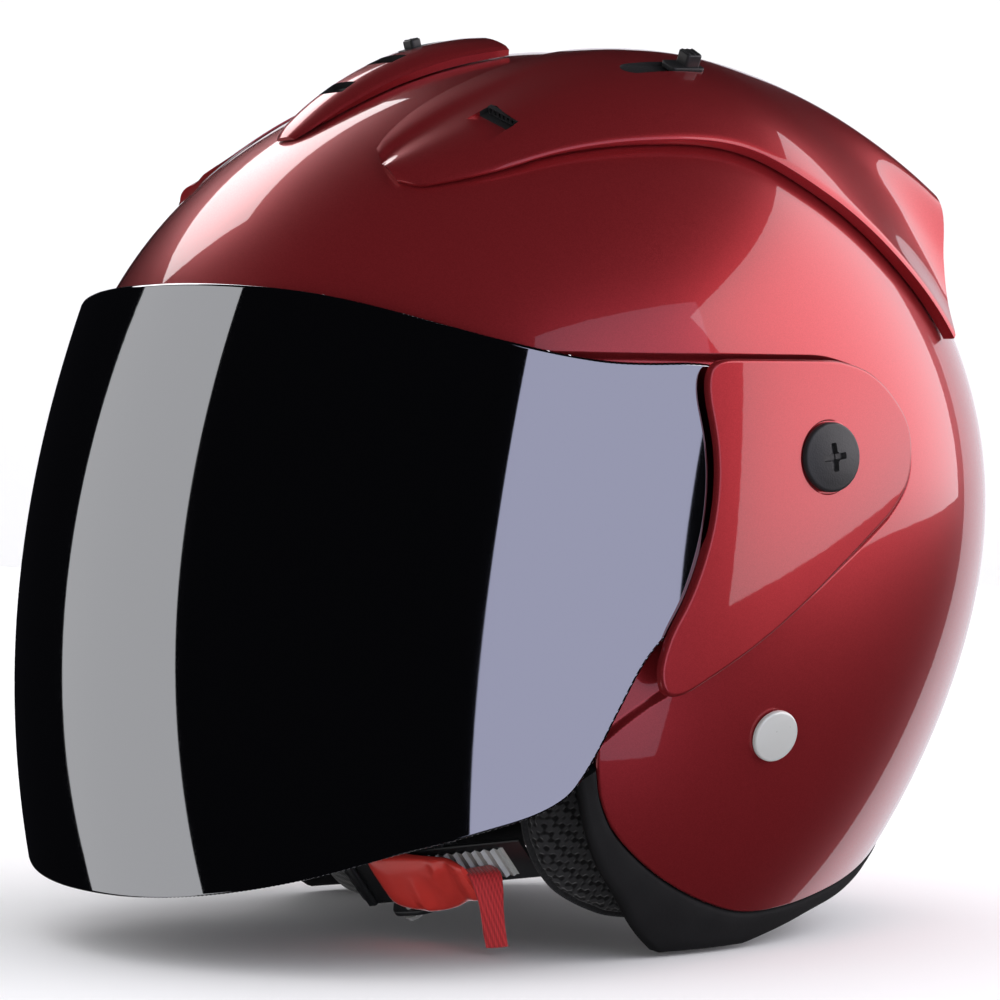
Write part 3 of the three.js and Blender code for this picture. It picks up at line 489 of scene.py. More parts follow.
def walled(name, flat, faces, outer, inner, step, edge_out=None, through=False, facing=1):
    """A closed body between two surfaces over a triangulated flat layout.

    edge_out(flat) gives the sideways normal at the free edge. A piece that goes through the mid-plane has its
    layout's circle of radius pi/2 there, and its other half is mirrored and joined along it.
    """
    count = len(flat)
    rim = np.hypot(flat[:, 0], flat[:, 1]) > math.pi / 2 - 1e-6 if through else np.zeros(count, bool)
    sheets = []
    for surface, sign in ((outer, 1), (inner, -1)):
        points = surface(flat)
        normals = slopes_of(surface, flat, step) * sign * facing
        if through:
            points[rim, 0] = 0
            normals[rim, 0] = 0
            normals /= np.linalg.norm(normals, axis=1)[:, None]
        sheets.append((points, normals))
    (top, top_normals), (low, low_normals) = sheets
    pairs = {}
    for a, b, c in faces:
        for i, j in ((a, b), (b, c), (c, a)):
            pairs[(i, j)] = pairs.get((i, j), 0) + 1
    border = [(i, j) for (i, j) in pairs if (j, i) not in pairs and not (rim[i] and rim[j])]
    edge_points = sorted({i for pair in border for i in pair})
    if edge_out is not None:
        top_normals[edge_points] = edge_out(flat[edge_points])
    vertices = np.vstack([top, low])
    first, second, third = faces.T
    turned_out = np.cross(top[second] - top[first], top[third] - top[first])
    outward = (turned_out * top_normals[first]).sum() > 0
    polygons = []
    loop_normals = []

    def put(corners, normals):
        polygons.append(corners)
        loop_normals.extend(normals)

    for a, b, c in faces:
        order = (a, b, c) if outward else (a, c, b)
        put(list(order), [top_normals[i] for i in order])
        back = order[::-1]
        put([i + count for i in back], [low_normals[i] for i in back])
    for i, j in border:
        a, b = (i, j) if outward else (j, i)
        put([b, a, a + count, b + count], [top_normals[b], top_normals[a], top_normals[a], top_normals[b]])
    if through:
        shared = np.concatenate([rim, rim])
        number = np.where(shared, np.arange(len(vertices)), 0)
        number[~shared] = len(vertices) + np.arange((~shared).sum())
        vertices = np.vstack([vertices, vertices[~shared] * MIRROR])
        half_normals = list(loop_normals)
        at = 0
        for polygon in list(polygons):
            normals = half_normals[at:at + len(polygon)]
            at += len(polygon)
            put([int(number[i]) for i in polygon[::-1]], [n * MIRROR for n in normals[::-1]])
    mesh = bpy.data.meshes.new(name)
    mesh.from_pydata(to_row(vertices).tolist(), [], [[int(i) for i in p] for p in polygons])
    smooth_shaded(mesh)
    mesh.normals_split_custom_set([tuple(n) for n in loop_normals])
    return placed(name, mesh)


def mirror_copy(piece, name):
    """The other side's copy of a piece, mirrored in the mid-plane."""
    mesh = piece.data.copy()
    normals = [n.vector.copy() for n in mesh.corner_normals]
    loops = [list(p.loop_indices) for p in mesh.polygons]
    vertices = [(-v.co.x, v.co.y, v.co.z) for v in mesh.vertices]
    polygons = [list(p.vertices)[::-1] for p in mesh.polygons]
    copy = bpy.data.meshes.new(name)
    copy.from_pydata(vertices, [], polygons)
    copy.polygons.foreach_set("use_smooth", [p.use_smooth for p in mesh.polygons])
    flipped = []
    for group in loops:
        for loop in group[::-1]:
            n = normals[loop]
            flipped.append((-n.x, n.y, n.z))
    copy.normals_split_custom_set(flipped)
    for material in mesh.materials:
        copy.materials.append(material)
    return placed(name, copy)


# ---- materials -------------------------------------------------------------------------------------------


def plain_material(name, colour, roughness, metallic=0.0):
    material = bpy.data.materials.new(name)
    material.use_nodes = True
    shader = material.node_tree.nodes["Principled BSDF"]
    shader.inputs["Base Color"].default_value = (*colour, 1)
    shader.inputs["Roughness"].default_value = roughness
    shader.inputs["Metallic"].default_value = metallic
    return material


class Finish:
    """A material being wired up; every texture is laid out in metres of the object's own space."""

    def __init__(self, name, colour, roughness, metallic=0.0):
        self.material = plain_material(name, colour, roughness, metallic)
        self.tree = self.material.node_tree
        self.shader = self.tree.nodes["Principled BSDF"]
        self.place = self.tree.nodes.new("ShaderNodeTexCoord").outputs["Object"]
        self.height = None

    def node(self, kind, inputs=(), **settings):
        made = self.tree.nodes.new(kind)
        for key, value in settings.items():
            setattr(made, key, value)
        for key, value in dict(inputs).items():
            if isinstance(value, bpy.types.NodeSocket):
                self.tree.links.new(value, made.inputs[key])
            else:
                made.inputs[key].default_value = value
        return made

    def noise(self, size, detail=2.0, roughness=0.5):
        """Soft noise with features about one size (metres) across."""
        inputs = {"Vector": self.place, "Scale": 0.5 / size, "Detail": detail, "Roughness": roughness}
        return self.node("ShaderNodeTexNoise", inputs).outputs["Fac"]

    def cells(self, size, feature="F1", output="Distance"):
        inputs = {"Vector": self.place, "Scale": 1 / size}
        return self.node("ShaderNodeTexVoronoi", inputs, feature=feature).outputs[output]

    def math(self, operation, a, b=0.0):
        return self.node("ShaderNodeMath", {0: a, 1: b}, operation=operation).outputs[0]

    def ramp(self, value, low, high, to_low=0.0, to_high=1.0):
        inputs = {"Value": value, "From Min": low, "From Max": high, "To Min": to_low, "To Max": to_high}
        return self.node("ShaderNodeMapRange", inputs).outputs[0]

    def colours(self, value, first, second):
        """The base colour runs from one colour to another with a value."""
        blend = self.node("ShaderNodeMix", data_type="RGBA")
        self.tree.links.new(value, blend.inputs[0])
        blend.inputs[6].default_value = (*first, 1)
        blend.inputs[7].default_value = (*second, 1)
        self.tree.links.new(blend.outputs[2], self.shader.inputs["Base Color"])

    def roughness(self, value, low, high):
        self.tree.links.new(self.ramp(value, 0, 1, low, high), self.shader.inputs["Roughness"])

    def bump(self, value, depth, strength=1.0):
        made = self.node("ShaderNodeBump", {"Height": value, "Distance": depth, "Strength": strength})
        if self.height is not None:
            self.tree.links.new(self.height, made.inputs["Normal"])
        self.height = made.outputs["Normal"]
        self.tree.links.new(self.height, self.shader.inputs["Normal"])

    def set(self, **values):
        for key, value in values.items():
            self.shader.inputs[key.replace("_", " ")].default_value = value
        return self


def make_red_paint():
    """Deep candy red over fine metal flake, under a clear coat with a trace of orange peel."""
    finish = Finish("red_paint", (0.4, 0.03, 0.036), 0.33, 0.82)
    flake = finish.cells(0.00022, output="Color")
    shine = finish.node("ShaderNodeSeparateColor", {"Color": flake}).outputs[0]
    finish.colours(shine, (0.36, 0.024, 0.03), (0.44, 0.033, 0.041))
    finish.roughness(shine, 0.3, 0.4)
    ripple = {"Height": finish.noise(0.0016, 1.0), "Distance": 0.000008, "Strength": 0.5}
    peel = finish.node("ShaderNodeBump", ripple)
    finish.tree.links.new(peel.outputs["Normal"], finish.shader.inputs["Coat Normal"])
    finish.set(Coat_Weight=1.0, Coat_Roughness=0.025, Coat_IOR=1.5)
    return finish.material


def make_mirrored_visor():
    """Dark mirror coat, with faint cleaning haze in the gloss."""
    finish = Finish("mirrored_visor", (0.42, 0.425, 0.45), 0.03, 1.0)
    finish.roughness(finish.noise(0.03, 4.0, 0.6), 0.015, 0.045)
    return finish.material


def make_trim_rubber():
    finish = Finish("trim_rubber", (0.008, 0.008, 0.0085), 0.85)
    finish.colours(finish.noise(0.004, 3.0), (0.0055, 0.0055, 0.006), (0.010, 0.010, 0.0107))
    finish.bump(finish.noise(0.0006, 3.0, 0.65), 0.00012, 0.6)
    finish.set(Specular_IOR_Level=0.2)
    return finish.material


def make_shock_foam():
    finish = Finish("shock_foam", (0.02, 0.02, 0.022), 0.9)
    bead = finish.cells(0.0035, feature="DISTANCE_TO_EDGE")
    finish.colours(finish.ramp(bead, 0, 0.12), (0.01, 0.01, 0.011), (0.028, 0.028, 0.031))
    finish.bump(finish.ramp(bead, 0, 0.15), 0.0003)
    return finish.material


def mesh_cells(finish, pitch):
    """Small open cells that repeat evenly in every direction over a surface."""
    split = finish.node("ShaderNodeSeparateXYZ", {0: finish.place}).outputs
    waves = [finish.math("SINE", finish.math("MULTIPLY", split[k], 2 * math.pi / pitch)) for k in range(3)]
    return finish.math("ADD", finish.math("ADD", waves[0], waves[1]), waves[2])


def make_liner_cloth():
    """Black spacer mesh: small open cells with a soft nap."""
    finish = Finish("liner_cloth", (0.015, 0.015, 0.016), 0.95)
    cell = mesh_cells(finish, 0.0021)
    finish.colours(finish.ramp(cell, -1.2, 0.3), (0.003, 0.003, 0.0032), (0.018, 0.018, 0.019))
    finish.bump(finish.ramp(cell, -1.4, 0.4), 0.0004)
    finish.bump(finish.noise(0.00035, 2.0), 0.0001, 0.5)
    finish.set(Sheen_Weight=0.12, Sheen_Roughness=0.45, Specular_IOR_Level=0.2)
    return finish.material


def make_plain_cloth():
    """Black knitted lining with a fine rib and a little fuzz."""
    finish = Finish("plain_cloth", (0.014, 0.014, 0.015), 0.95)
    knit = finish.cells(0.0009)
    finish.colours(knit, (0.014, 0.014, 0.015), (0.005, 0.005, 0.0055))
    finish.bump(knit, 0.0002, 0.7)
    finish.set(Sheen_Weight=0.1, Sheen_Roughness=0.5, Specular_IOR_Level=0.2)
    return finish.material


# the direction across the strap's width
STRAP_ACROSS = Vector((0, -0.6, 0.8))


def weave(finish, across, pitch, depth):
    """Ribs along a band, crossed by finer threads."""
    spread = finish.node("ShaderNodeVectorMath", {0: finish.place, 1: across}, operation="DOT_PRODUCT")
    ribs = finish.math("SINE", finish.math("MULTIPLY", spread.outputs["Value"], 2 * math.pi / pitch))
    split = finish.node("ShaderNodeSeparateXYZ", {0: finish.place}).outputs
    run = finish.math("ADD", split[0], finish.math("MULTIPLY", spread.outputs["Value"], 0.35))
    threads = finish.math("SINE", finish.math("MULTIPLY", run, 2 * math.pi / (pitch * 0.62)))
    cloth = finish.math("ADD", finish.math("MULTIPLY", ribs, 0.5), finish.math("MULTIPLY", threads, 0.35))
    finish.bump(finish.ramp(cloth, -0.85, 0.85), depth)
    return cloth


def make_webbing():
    finish = Finish("webbing", (0.013, 0.013, 0.014), 0.8)
    cloth = weave(finish, STRAP_ACROSS, 0.0022, 0.0003)
    finish.colours(finish.ramp(cloth, -0.8, 0.8), (0.007, 0.007, 0.0075), (0.026, 0.026, 0.028))
    finish.set(Sheen_Weight=0.2, Sheen_Roughness=0.4)
    return finish.material


def make_red_ribbon():
    finish = Finish("red_ribbon", (0.36, 0.014, 0.02), 0.75)
    cloth = weave(finish, Vector((0.3, 0.9, 0.3)), 0.0011, 0.00018)
    finish.colours(finish.ramp(cloth, -0.8, 0.8), (0.26, 0.009, 0.012), (0.52, 0.03, 0.035))
    finish.set(Sheen_Weight=0.3, Sheen_Roughness=0.4)
    return finish.material


def make_steel(name, colour, roughness, scratch, metallic=1.0):
    finish = Finish(name, colour, roughness, metallic)
    worn = finish.noise(0.002, 4.0, 0.7)
    finish.roughness(worn, roughness * 0.7, roughness * 1.4)
    finish.bump(finish.noise(0.0004, 3.0, 0.7), scratch, 0.4)
    return finish.material


def make_red_plastic():
    finish = Finish("red_plastic", (0.62, 0.045, 0.035), 0.4)
    worn = finish.noise(0.006, 4.0)
    finish.colours(worn, (0.58, 0.038, 0.03), (0.66, 0.052, 0.042))
    finish.roughness(worn, 0.26, 0.4)
    finish.bump(finish.noise(0.0008, 2.0), 0.00003, 0.5)
    finish.set(Coat_Weight=0.25, Coat_Roughness=0.15)
    return finish.material


def make_black_plastic():
    finish = Finish("black_plastic", (0.012, 0.012, 0.013), 0.4)
    grain = finish.cells(0.0005)
    finish.roughness(grain, 0.3, 0.48)
    finish.bump(grain, 0.00004, 0.6)
    return finish.material


red_paint = make_red_paint()
mirrored_visor = make_mirrored_visor()
trim_rubber = make_trim_rubber()
shock_foam = make_shock_foam()
liner_cloth = make_liner_cloth()
plain_cloth = make_plain_cloth()
webbing = make_webbing()
red_ribbon = make_red_ribbon()
bright_steel = make_steel("bright_steel", (0.47, 0.48, 0.47), 0.3, 0.00001, 0.35)
plain_steel = make_steel("plain_steel", (0.5, 0.5, 0.5), 0.35, 0.00002)
dark_steel = make_steel("dark_steel", (0.02, 0.021, 0.023), 0.3, 0.00002, 0.3)
red_plastic = make_red_plastic()
black_plastic = make_black_plastic()


def finished(piece, body, material, replaces=()):
    """A piece rides on its body, takes its finish, and stands for its CAD nodes."""
    if not piece.data.materials:
        piece.data.materials.append(material)
    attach(piece, body)
    if replaces:
        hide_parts(*replaces)
    return piece


def finished_pair(left, material, node=None):
    """Finishes a piece on the wearer's left and its mirrored copy on the right, and gives both back."""
    right = mirror_copy(left, left.name.replace("left", "right"))
    for piece, word in ((left, "left"), (right, "right")):
        finished(piece, "helmet", material, [f"{node}_{word}"] if node else ())
    return left, right


# ---- outer shell ---------------------------------------------------------------------------------

SHELL_POWER = 1.1
FIELD_DEPTH = 1.8
FLAT_STEP = 0.02
EDGE_ROUND = 0.9
FIELD_STEP = (-0.75, 0.95)             # the step down to the sunk field, as distances from its line
VISOR_ROOM = 0.8                       # between the visor and the shell's seat under its ear
SEAT_FADE = (60, 80)                   # distances from the pivot over which that seat fades out
EDGE_SIDE = 1                          # the shell lies to the left of its free edge, in (y, z)


def signed_distance(points, line):
    away = distance(points, line, closed=False)
    return np.where(inside(points, line), away, -away)


def shell_surface(flat):
    alpha, f = undisc(flat, SHELL_POWER)
    base = shell_point(alpha, f, 0.0)[:, 1:]
    sunk = smooth(*FIELD_STEP, signed_distance(base, field_line))
    edge = distance(base, free_edge, closed=False)
    points = shell_point(alpha, f, -FIELD_DEPTH * sunk - edge_drop(edge, EDGE_ROUND))
    r, theta = about_pivot(points[:, 1], points[:, 2])
    seat = visor_x_at(r, theta) - VISOR_WALL - VISOR_ROOM
    near = sunk * (1 - smooth(*SEAT_FADE, r))
    points[:, 0] = mix(points[:, 0], np.minimum(points[:, 0], seat), near)
    return points


def shell_inside(flat):
    alpha, f = undisc(flat, SHELL_POWER)
    return shell_point(alpha, f, -SHELL_WALL)


def shell_edge_out(flat):
    alpha, f = undisc(flat, SHELL_POWER)
    here = shell_point(alpha, f, 0.0)
    tangents = np.gradient(free_edge, axis=0)
    tangents /= np.linalg.norm(tangents, axis=1)[:, None]
    nearest = np.array([np.argmin(np.linalg.norm(free_edge - p[1:], axis=1)) for p in here])
    sideways = np.column_stack([tangents[nearest, 1], -tangents[nearest, 0]])
    moved = here[:, 1:] - sideways * 0.2
    alpha_in, f_in = shell_place(moved[:, 0], moved[:, 1])
    back = shell_point(alpha_in, np.minimum(f_in, 1), 0.0)
    out = here - back
    return out / np.maximum(np.linalg.norm(out, axis=1), 1e-9)[:, None]


FINE = 0.15                            # spacing of the lines that are laid out flat
FIELD_ROWS = (-1.5, -0.75, -0.42, -0.1, 0.2, 0.5, 0.85, 1.5)      # rows of points beside the field's line


def shell_layout():
    def flattened(points):
        angle, f = up_to_rim(*shell_place(points[:, 0], points[:, 1]))
        return respaced(disc(angle, f, SHELL_POWER), FLAT_STEP * 0.4)

    dense = respaced(free_edge, FINE)
    edge = flattened(dense)
    field = respaced(field_line, FINE)
    rows = [flattened(beside(field, offset)) for offset in FIELD_ROWS]
    start, end = [math.degrees(math.atan2(p[1], p[0])) for p in (edge[0], edge[-1])]
    ends = [math.degrees(math.atan2(row[0][1], row[0][0])) for row in rows]
    ends = [angle for angle in ends if angle > start + 0.05]
    step = math.degrees(FLAT_STEP * 0.8) / (math.pi / 2)
    angles = np.arange(start + step, end + 360 - step / 2, step)
    angles = [a for a in angles if all(abs(a - e) > 0.2 for e in ends)]
    around = np.array([[math.cos(math.radians(a)), math.sin(math.radians(a))] for a in sorted(angles + ends)])
    rim = around * math.pi / 2
    loop = np.vstack([edge, rim[::-1]])
    points = []
    for row in rows:
        row = row[1:][inside(row[1:], loop)]
        points.append(row[distance(row, loop) > FLAT_STEP * 0.25])
    for offset in (0.12, 0.4, 0.9):
        row = flattened(beside(dense, EDGE_SIDE * offset))[1:-1]
        points.append(row[inside(row, loop)])
    points.append(lattice(FLAT_STEP, loop, FLAT_STEP * 0.5, points))
    return triangulated([loop], np.vstack(points))


flat, faces = shell_layout()
shell = walled("shell_skin", flat, faces, shell_surface, shell_inside, 2e-5, shell_edge_out, through=True,
               facing=-1)

# ---- visor -----------------------------------------------------------------------------------------

VISOR_POWER = 1.25
VISOR_SEGMENT = 1.7


def visor_outline():
    """The free edge of the visor's left half in (y, z): upper edge, round ear, lower edge."""
    def edge(curve, shares):
        theta = curve(shares)[:, 0]
        return from_pivot(shares * visor_radius(theta), theta)

    shares = np.sin(np.linspace(math.pi / 2, 0.11, 90)) ** (1 / VISOR_POWER)
    ear = from_pivot(EAR_RADIUS, np.linspace(52, 292, 40))
    line = np.vstack([edge(visor_top, shares), ear, edge(visor_bottom, shares[::-1])])
    line = respaced(line, VISOR_SEGMENT)
    for _ in range(12):
        near = np.hypot(line[1:-1, 0] - PIVOT[0], line[1:-1, 1] - PIVOT[1]) < 34
        softened = 0.5 * line[1:-1] + 0.25 * (line[:-2] + line[2:])
        line[1:-1] = np.where(near[:, None], softened, line[1:-1])
    return line


visor_edge = visor_outline()
VISOR_SIDE = -1                        # the visor lies to the right of its edge, in (y, z)


def visor_sheet(layer):
    """The visor's outside (layer 0) or inside (layer 1), which meet along its rounded edge."""
    def surface(flat):
        theta, f = undisc(flat, VISOR_POWER)
        reach = visor_radius(theta)
        gap = distance(from_pivot(f * reach, theta), visor_edge, closed=False)
        drop = edge_drop(gap, VISOR_WALL / 2)
        inset = drop if layer == 0 else VISOR_WALL - drop
        r = f * (reach - inset)
        x = (VISOR_WIDTH - inset) * (1 - f**VISOR_OUT) ** (1 / VISOR_IN)
        x -= VISOR_SEAT * (1 - smooth(*EAR_RISE, r))
        return np.column_stack([x, from_pivot(r, theta)])
    return surface


def visor_layout():
    dense = respaced(visor_edge, FINE)

    def flattened(points):
        r, theta = about_pivot(points[:, 0], points[:, 1])
        f = np.minimum(r / visor_radius(theta), 1)
        f[[0, -1]] = 1
        return respaced(disc(theta, f, VISOR_POWER), 0.011)

    edge = flattened(dense)
    rows = [flattened(beside(dense, VISOR_SIDE * gap)) for gap in (0.06, 0.25, 0.6, 1.05)]
    ends = [[math.atan2(row[k][1], row[k][0]) for row in rows] for k in (0, -1)]
    angles = np.arange(min(ends[0]) - 0.012, max(ends[1]) + 0.006, -0.014)
    angles = np.concatenate([ends[0], angles, ends[1][::-1]])
    rim = np.column_stack([np.cos(angles), np.sin(angles)]) * math.pi / 2
    loop = np.vstack([edge, rim[::-1]])
    points = [row[1:-1][inside(row[1:-1], loop)] for row in rows]
    hole = np.radians(np.arange(0, 360, 12))
    bush = disc(np.degrees(hole), np.full(len(hole), BUSH_RADIUS / VISOR_REACH), VISOR_POWER)
    fill = lattice(0.022, loop, 0.011, points)
    points.append(fill[distance(fill, bush) > 0.004])
    return triangulated([loop], np.vstack(points), [bush])


flat, faces = visor_layout()
visor = walled("visor_skin", flat, faces, visor_sheet(0), visor_sheet(1), 2e-5, None, through=True, facing=-1)

# ---- side plates -------------------------------------------------------------------------------------

PLATE_WALL = 1.9
PLATE_ROUND = 1.0
HEAD_RADIUS = 9.3
HEAD_UNDER = 127.9                     # where the pivot screw's head rests, from the mid-plane
SHANK_HOLE = 4.4
COVER_DEGREE = 2                       # the plate is one smooth sheet of this degree in y and z
COVER_Y = np.arange(-36, 56, 2.0)      # the places in y and z where the sheet is held to what it clears
COVER_Z = np.arange(72, 165, 2.0)
COVER_PASSES = 120
PLATE_GAP = 0.35                       # between the plate and the visor
PLATE_SUNK = 1.45                      # the plate's underside may lie this far under the shell's own round
PLATE_PROUD = 0.8                      # how far the plate stands over the shell at its rear
SWING_MARGIN = 4                       # degrees beside the visor's swing that are kept clear too


def least_half_width(y, z):
    """What the underside of the plate has to clear: the shell, the visor's ear and its whole swing."""
    r, theta = about_pivot(y, z)
    f = np.clip(r / visor_radius(theta), 0.1, 1)
    lowest = visor_bottom(f)[:, 0] - SWING_MARGIN
    highest = visor_top(f)[:, 0] + VISOR_SWING + SWING_MARGIN
    swept = (theta > lowest) & (theta < highest)
    widest = np.maximum(theta - VISOR_SWING, np.minimum(theta, VISOR_LOWEST))
    least = egg_x(y, z) - PLATE_SUNK
    least = np.where(swept, np.maximum(least, visor_x_at(r, widest) + PLATE_GAP), least)
    return np.where(r < EAR_RADIUS + 1, np.maximum(least, VISOR_WIDTH - VISOR_SEAT + PLATE_GAP), least)


def cover_terms(y, z):
    """The powers of y and z, counted from the plate's middle, that the sheet is made of."""
    y, z = (y - 8) / 45, (z - 120) / 45
    powers = range(COVER_DEGREE + 1)
    return np.column_stack([y**i * z**j for i in powers for j in powers if i + j <= COVER_DEGREE])


def fitted_cover():
    """The plate's underside: a smooth sheet close over what it clears, nearly flush with the shell behind."""
    grid = np.array([[y, z] for y in COVER_Y for z in COVER_Z])
    gap = distance(grid, plate_outline)
    kept = inside(grid, plate_outline) | (gap < 1.5)
    grid, gap = grid[kept], gap[kept]
    y, z = grid[:, 0], grid[:, 1]
    least = least_half_width(y, z)
    held = smooth(18, 42, y) * (z > 99) * (gap < 4.5)
    target = np.where(held > 0, np.maximum(egg_x(y, z) + PLATE_PROUD - PLATE_WALL, least), least)
    terms = cover_terms(y, z)
    small = 0.5 * np.eye(terms.shape[1])
    push = np.ones(len(y))
    for _ in range(COVER_PASSES):
        weight = push * (1 + 3 * held)
        rows = np.vstack([terms * weight[:, None], small])
        wanted = np.concatenate([target * weight, np.zeros(len(small))])
        shape = np.linalg.lstsq(rows, wanted, rcond=None)[0]
        low = terms @ shape < least
        push = np.where(low, push * 1.25, np.maximum(push * 0.97, 0.3))
    shape[0] += max(0, (least - terms @ shape).max())
    return shape


cover_shape = fitted_cover()


def plate_under(y, z):
    return cover_terms(y, z) @ cover_shape


def plate_top(flat):
    y, z = flat[:, 0], flat[:, 1]
    x = plate_under(y, z) + PLATE_WALL - edge_drop(distance(flat, plate_outline), PLATE_ROUND)
    r = np.hypot(y - PIVOT[0], z - PIVOT[1])
    seat = HEAD_UNDER - PLATE_GAP
    return np.column_stack([mix(seat, x, smooth(HEAD_RADIUS + 0.35, HEAD_RADIUS + 0.75, r)), y, z])


def plate_bottom(flat):
    y, z = flat[:, 0], flat[:, 1]
    under = plate_under(y, z)
    lower_side = smooth(-40, 20, y) * smooth(0, 6, 118 - z)
    rear_side = smooth(24, 40, y)
    skirt = np.clip(np.maximum(lower_side, rear_side), 0, 1)
    skirt = skirt * (1 - smooth(1.3, 2.0, distance(flat, plate_outline)))
    deep = np.minimum(under, egg_x(y, z, -FIELD_DEPTH) + mix(1.1, 0.35, smooth(-30, 10, y)))
    return np.column_stack([mix(under, deep, skirt), y, z])


def outline_normals(outline):
    def sideways(flat):
        tangents = np.roll(outline, -1, axis=0) - np.roll(outline, 1, axis=0)
        nearest = np.array([np.argmin(np.linalg.norm(outline - p, axis=1)) for p in flat])
        t = tangents[nearest]
        out = np.column_stack([np.zeros(len(flat)), t[:, 1], -t[:, 0]])
        out /= np.linalg.norm(out, axis=1)[:, None]
        probe = flat + out[:, 1:] * 0.2
        out[inside(probe, outline)] *= -1
        return out
    return sideways


def side_plate():
    loop = plate_outline
    sign = 1 if inside(beside(loop, 0.5, closed=True), loop).mean() > 0.5 else -1
    rows = [beside(loop, sign * gap, closed=True) for gap in (0.07, 0.28, 0.6, 1.0, 1.45, 2.1)]
    angle = np.radians(np.arange(0, 360, 6))
    ring = np.column_stack([np.cos(angle), np.sin(angle)])
    rows += [np.array(PIVOT) + ring * r for r in (8.6, 9.45, 9.65, 9.85, 10.05, 10.25, 11.2)]
    rows.append(lattice(2.2, loop, 1.2, [np.vstack([row, row[:1]]) for row in rows]))
    hole = np.array(PIVOT) + ring[::2] * SHANK_HOLE
    flat, faces = triangulated([loop], np.vstack(rows), [hole])
    return walled("side_plate_skin_left", flat, faces, plate_top, plate_bottom, 0.01, outline_normals(loop))


HELMET_MIDDLE = Vector((0, 0, 0.13))
TURNED_IN = -0.004                     # a face looks inward when its normal along its offset is below this


def dark_inside(piece):
    """The shell is painted outside and black inside."""
    piece.data.materials.append(red_paint)
    piece.data.materials.append(trim_rubber)
    for face in piece.data.polygons:
        face.material_index = 1 if face.normal.dot(face.center - HELMET_MIDDLE) < TURNED_IN else 0


dark_inside(shell)
finished(shell, "helmet", red_paint, ["outer_shell"])
finished(visor, "visor", mirrored_visor, ["visor"])
finished_pair(side_plate(), red_paint, "side_plate")

# ---- crown pieces: wings, centre vent, rear spoiler ------------------------------------------------------


def squared(value, power):
    """A cosine or sine pushed towards 1, which squares up a round section."""
    return np.sign(value) * abs(value) ** power


def lofted(name, loops, degrees, material=None):
    """A closed body through loops of equal length in millimetres, its two ends closed by one face each."""
    loops = [np.asarray(loop) for loop in loops]
    count = len(loops[0])
    faces = []
    for row in range(len(loops) - 1):
        for i in range(count):
            j = (i + 1) % count
            faces.append((row * count + i, row * count + j, (row + 1) * count + j, (row + 1) * count + i))
    faces.append(tuple(range(count))[::-1])
    faces.append(tuple((len(loops) - 1) * count + i for i in range(count)))
    piece = mesh_object(name, np.vstack(loops), faces)
    if material:
        piece.data.materials.append(material)
    return crease(fix_normals(piece), degrees)


def prism(name, outline, depth, matrix, taper=0.0, material=None):
    """A bar with an outline in its frame's first two directions (mm), centred on the third."""
    outline = np.asarray(outline, float)
    middle = outline.mean(0)
    small = middle + (outline - middle) * (1 - taper)
    count = len(outline)
    points = [(*p, -depth / 2) for p in small] + [(*p, depth / 2) for p in outline]
    faces = [tuple(range(count))[::-1], tuple(range(count, 2 * count))]
    faces += [(i, (i + 1) % count, count + (i + 1) % count, count + i) for i in range(count)]
    mesh = bpy.data.meshes.new(name)
    places = [tuple(matrix @ Vector((x / 1000, y / 1000, z / 1000))) for x, y, z in points]
    mesh.from_pydata(places, [], faces)
    if material:
        mesh.materials.append(material)
    return fix_normals(placed(name, mesh))


def capsule(length, width, shift=0.0, corner=None, steps=8):
    """A rounded rectangle outline, length along the first direction."""
    r = min(width, length) / 2 if corner is None else corner
    points = []
    for k, (sx, sy) in enumerate(((1, 1), (-1, 1), (-1, -1), (1, -1))):
        for t in range(steps + 1):
            a = math.radians(90 * (k + t / steps))
            x = shift + sx * (length / 2 - r) + r * math.cos(a)
            points.append((x, sy * (width / 2 - r) + r * math.sin(a)))
    return points


def bevelled(piece, width, segments=3):
    """Rounds every sharp edge; width in millimetres."""
    modifier = piece.modifiers.new("bevel", "BEVEL")
    modifier.width = width / 1000
    modifier.segments = segments
    modifier.limit_method = "ANGLE"
    modifier.angle_limit = math.radians(30)
    modifier.harden_normals = False
    apply_modifiers(piece)
    return crease(piece, 50)


WING_BASE = 0.35
LIP_DROP = 0.8
LIP_UNDERCUT = 0.006

# a wing's three edges from front to rear: share of its length, and alpha, f and h there
wing_low = through([[0, 40.9, 0.903, 1.2], [0.04, 41.8, 0.874, 1.6], [0.12, 48.5, 0.825, 2.2],
                    [0.25, 59, 0.786, 3], [0.4, 74.5, 0.738, 3.6], [0.55, 92, 0.698, 4],
                    [0.7, 110, 0.635, 4], [0.85, 131, 0.613, 4], [1, 155.5, 0.638, 4]])
wing_crest = through([[0, 43, 0.932, 1.4], [0.04, 46.5, 0.935, 0.6], [0.12, 54, 0.928, 1.0],
                      [0.25, 64, 0.922, 2.2], [0.4, 79, 0.918, 4.9], [0.55, 94, 0.912, 5.9],
                      [0.7, 109, 0.9, 7], [0.85, 124, 0.865, 10.2], [1, 139, 0.82, 14.6]])
wing_inner = through([[0, 45.5, 0.95, 1.2], [0.04, 48.5, 0.957, 0.7], [0.12, 55, 0.963, 0.8],
                      [0.25, 65, 0.965, 1.2], [0.4, 79, 0.962, 2.8], [0.55, 93, 0.955, 3.8],
                      [0.7, 107, 0.945, 5.4], [0.85, 121, 0.935, 9], [1, 134, 0.93, 13]])


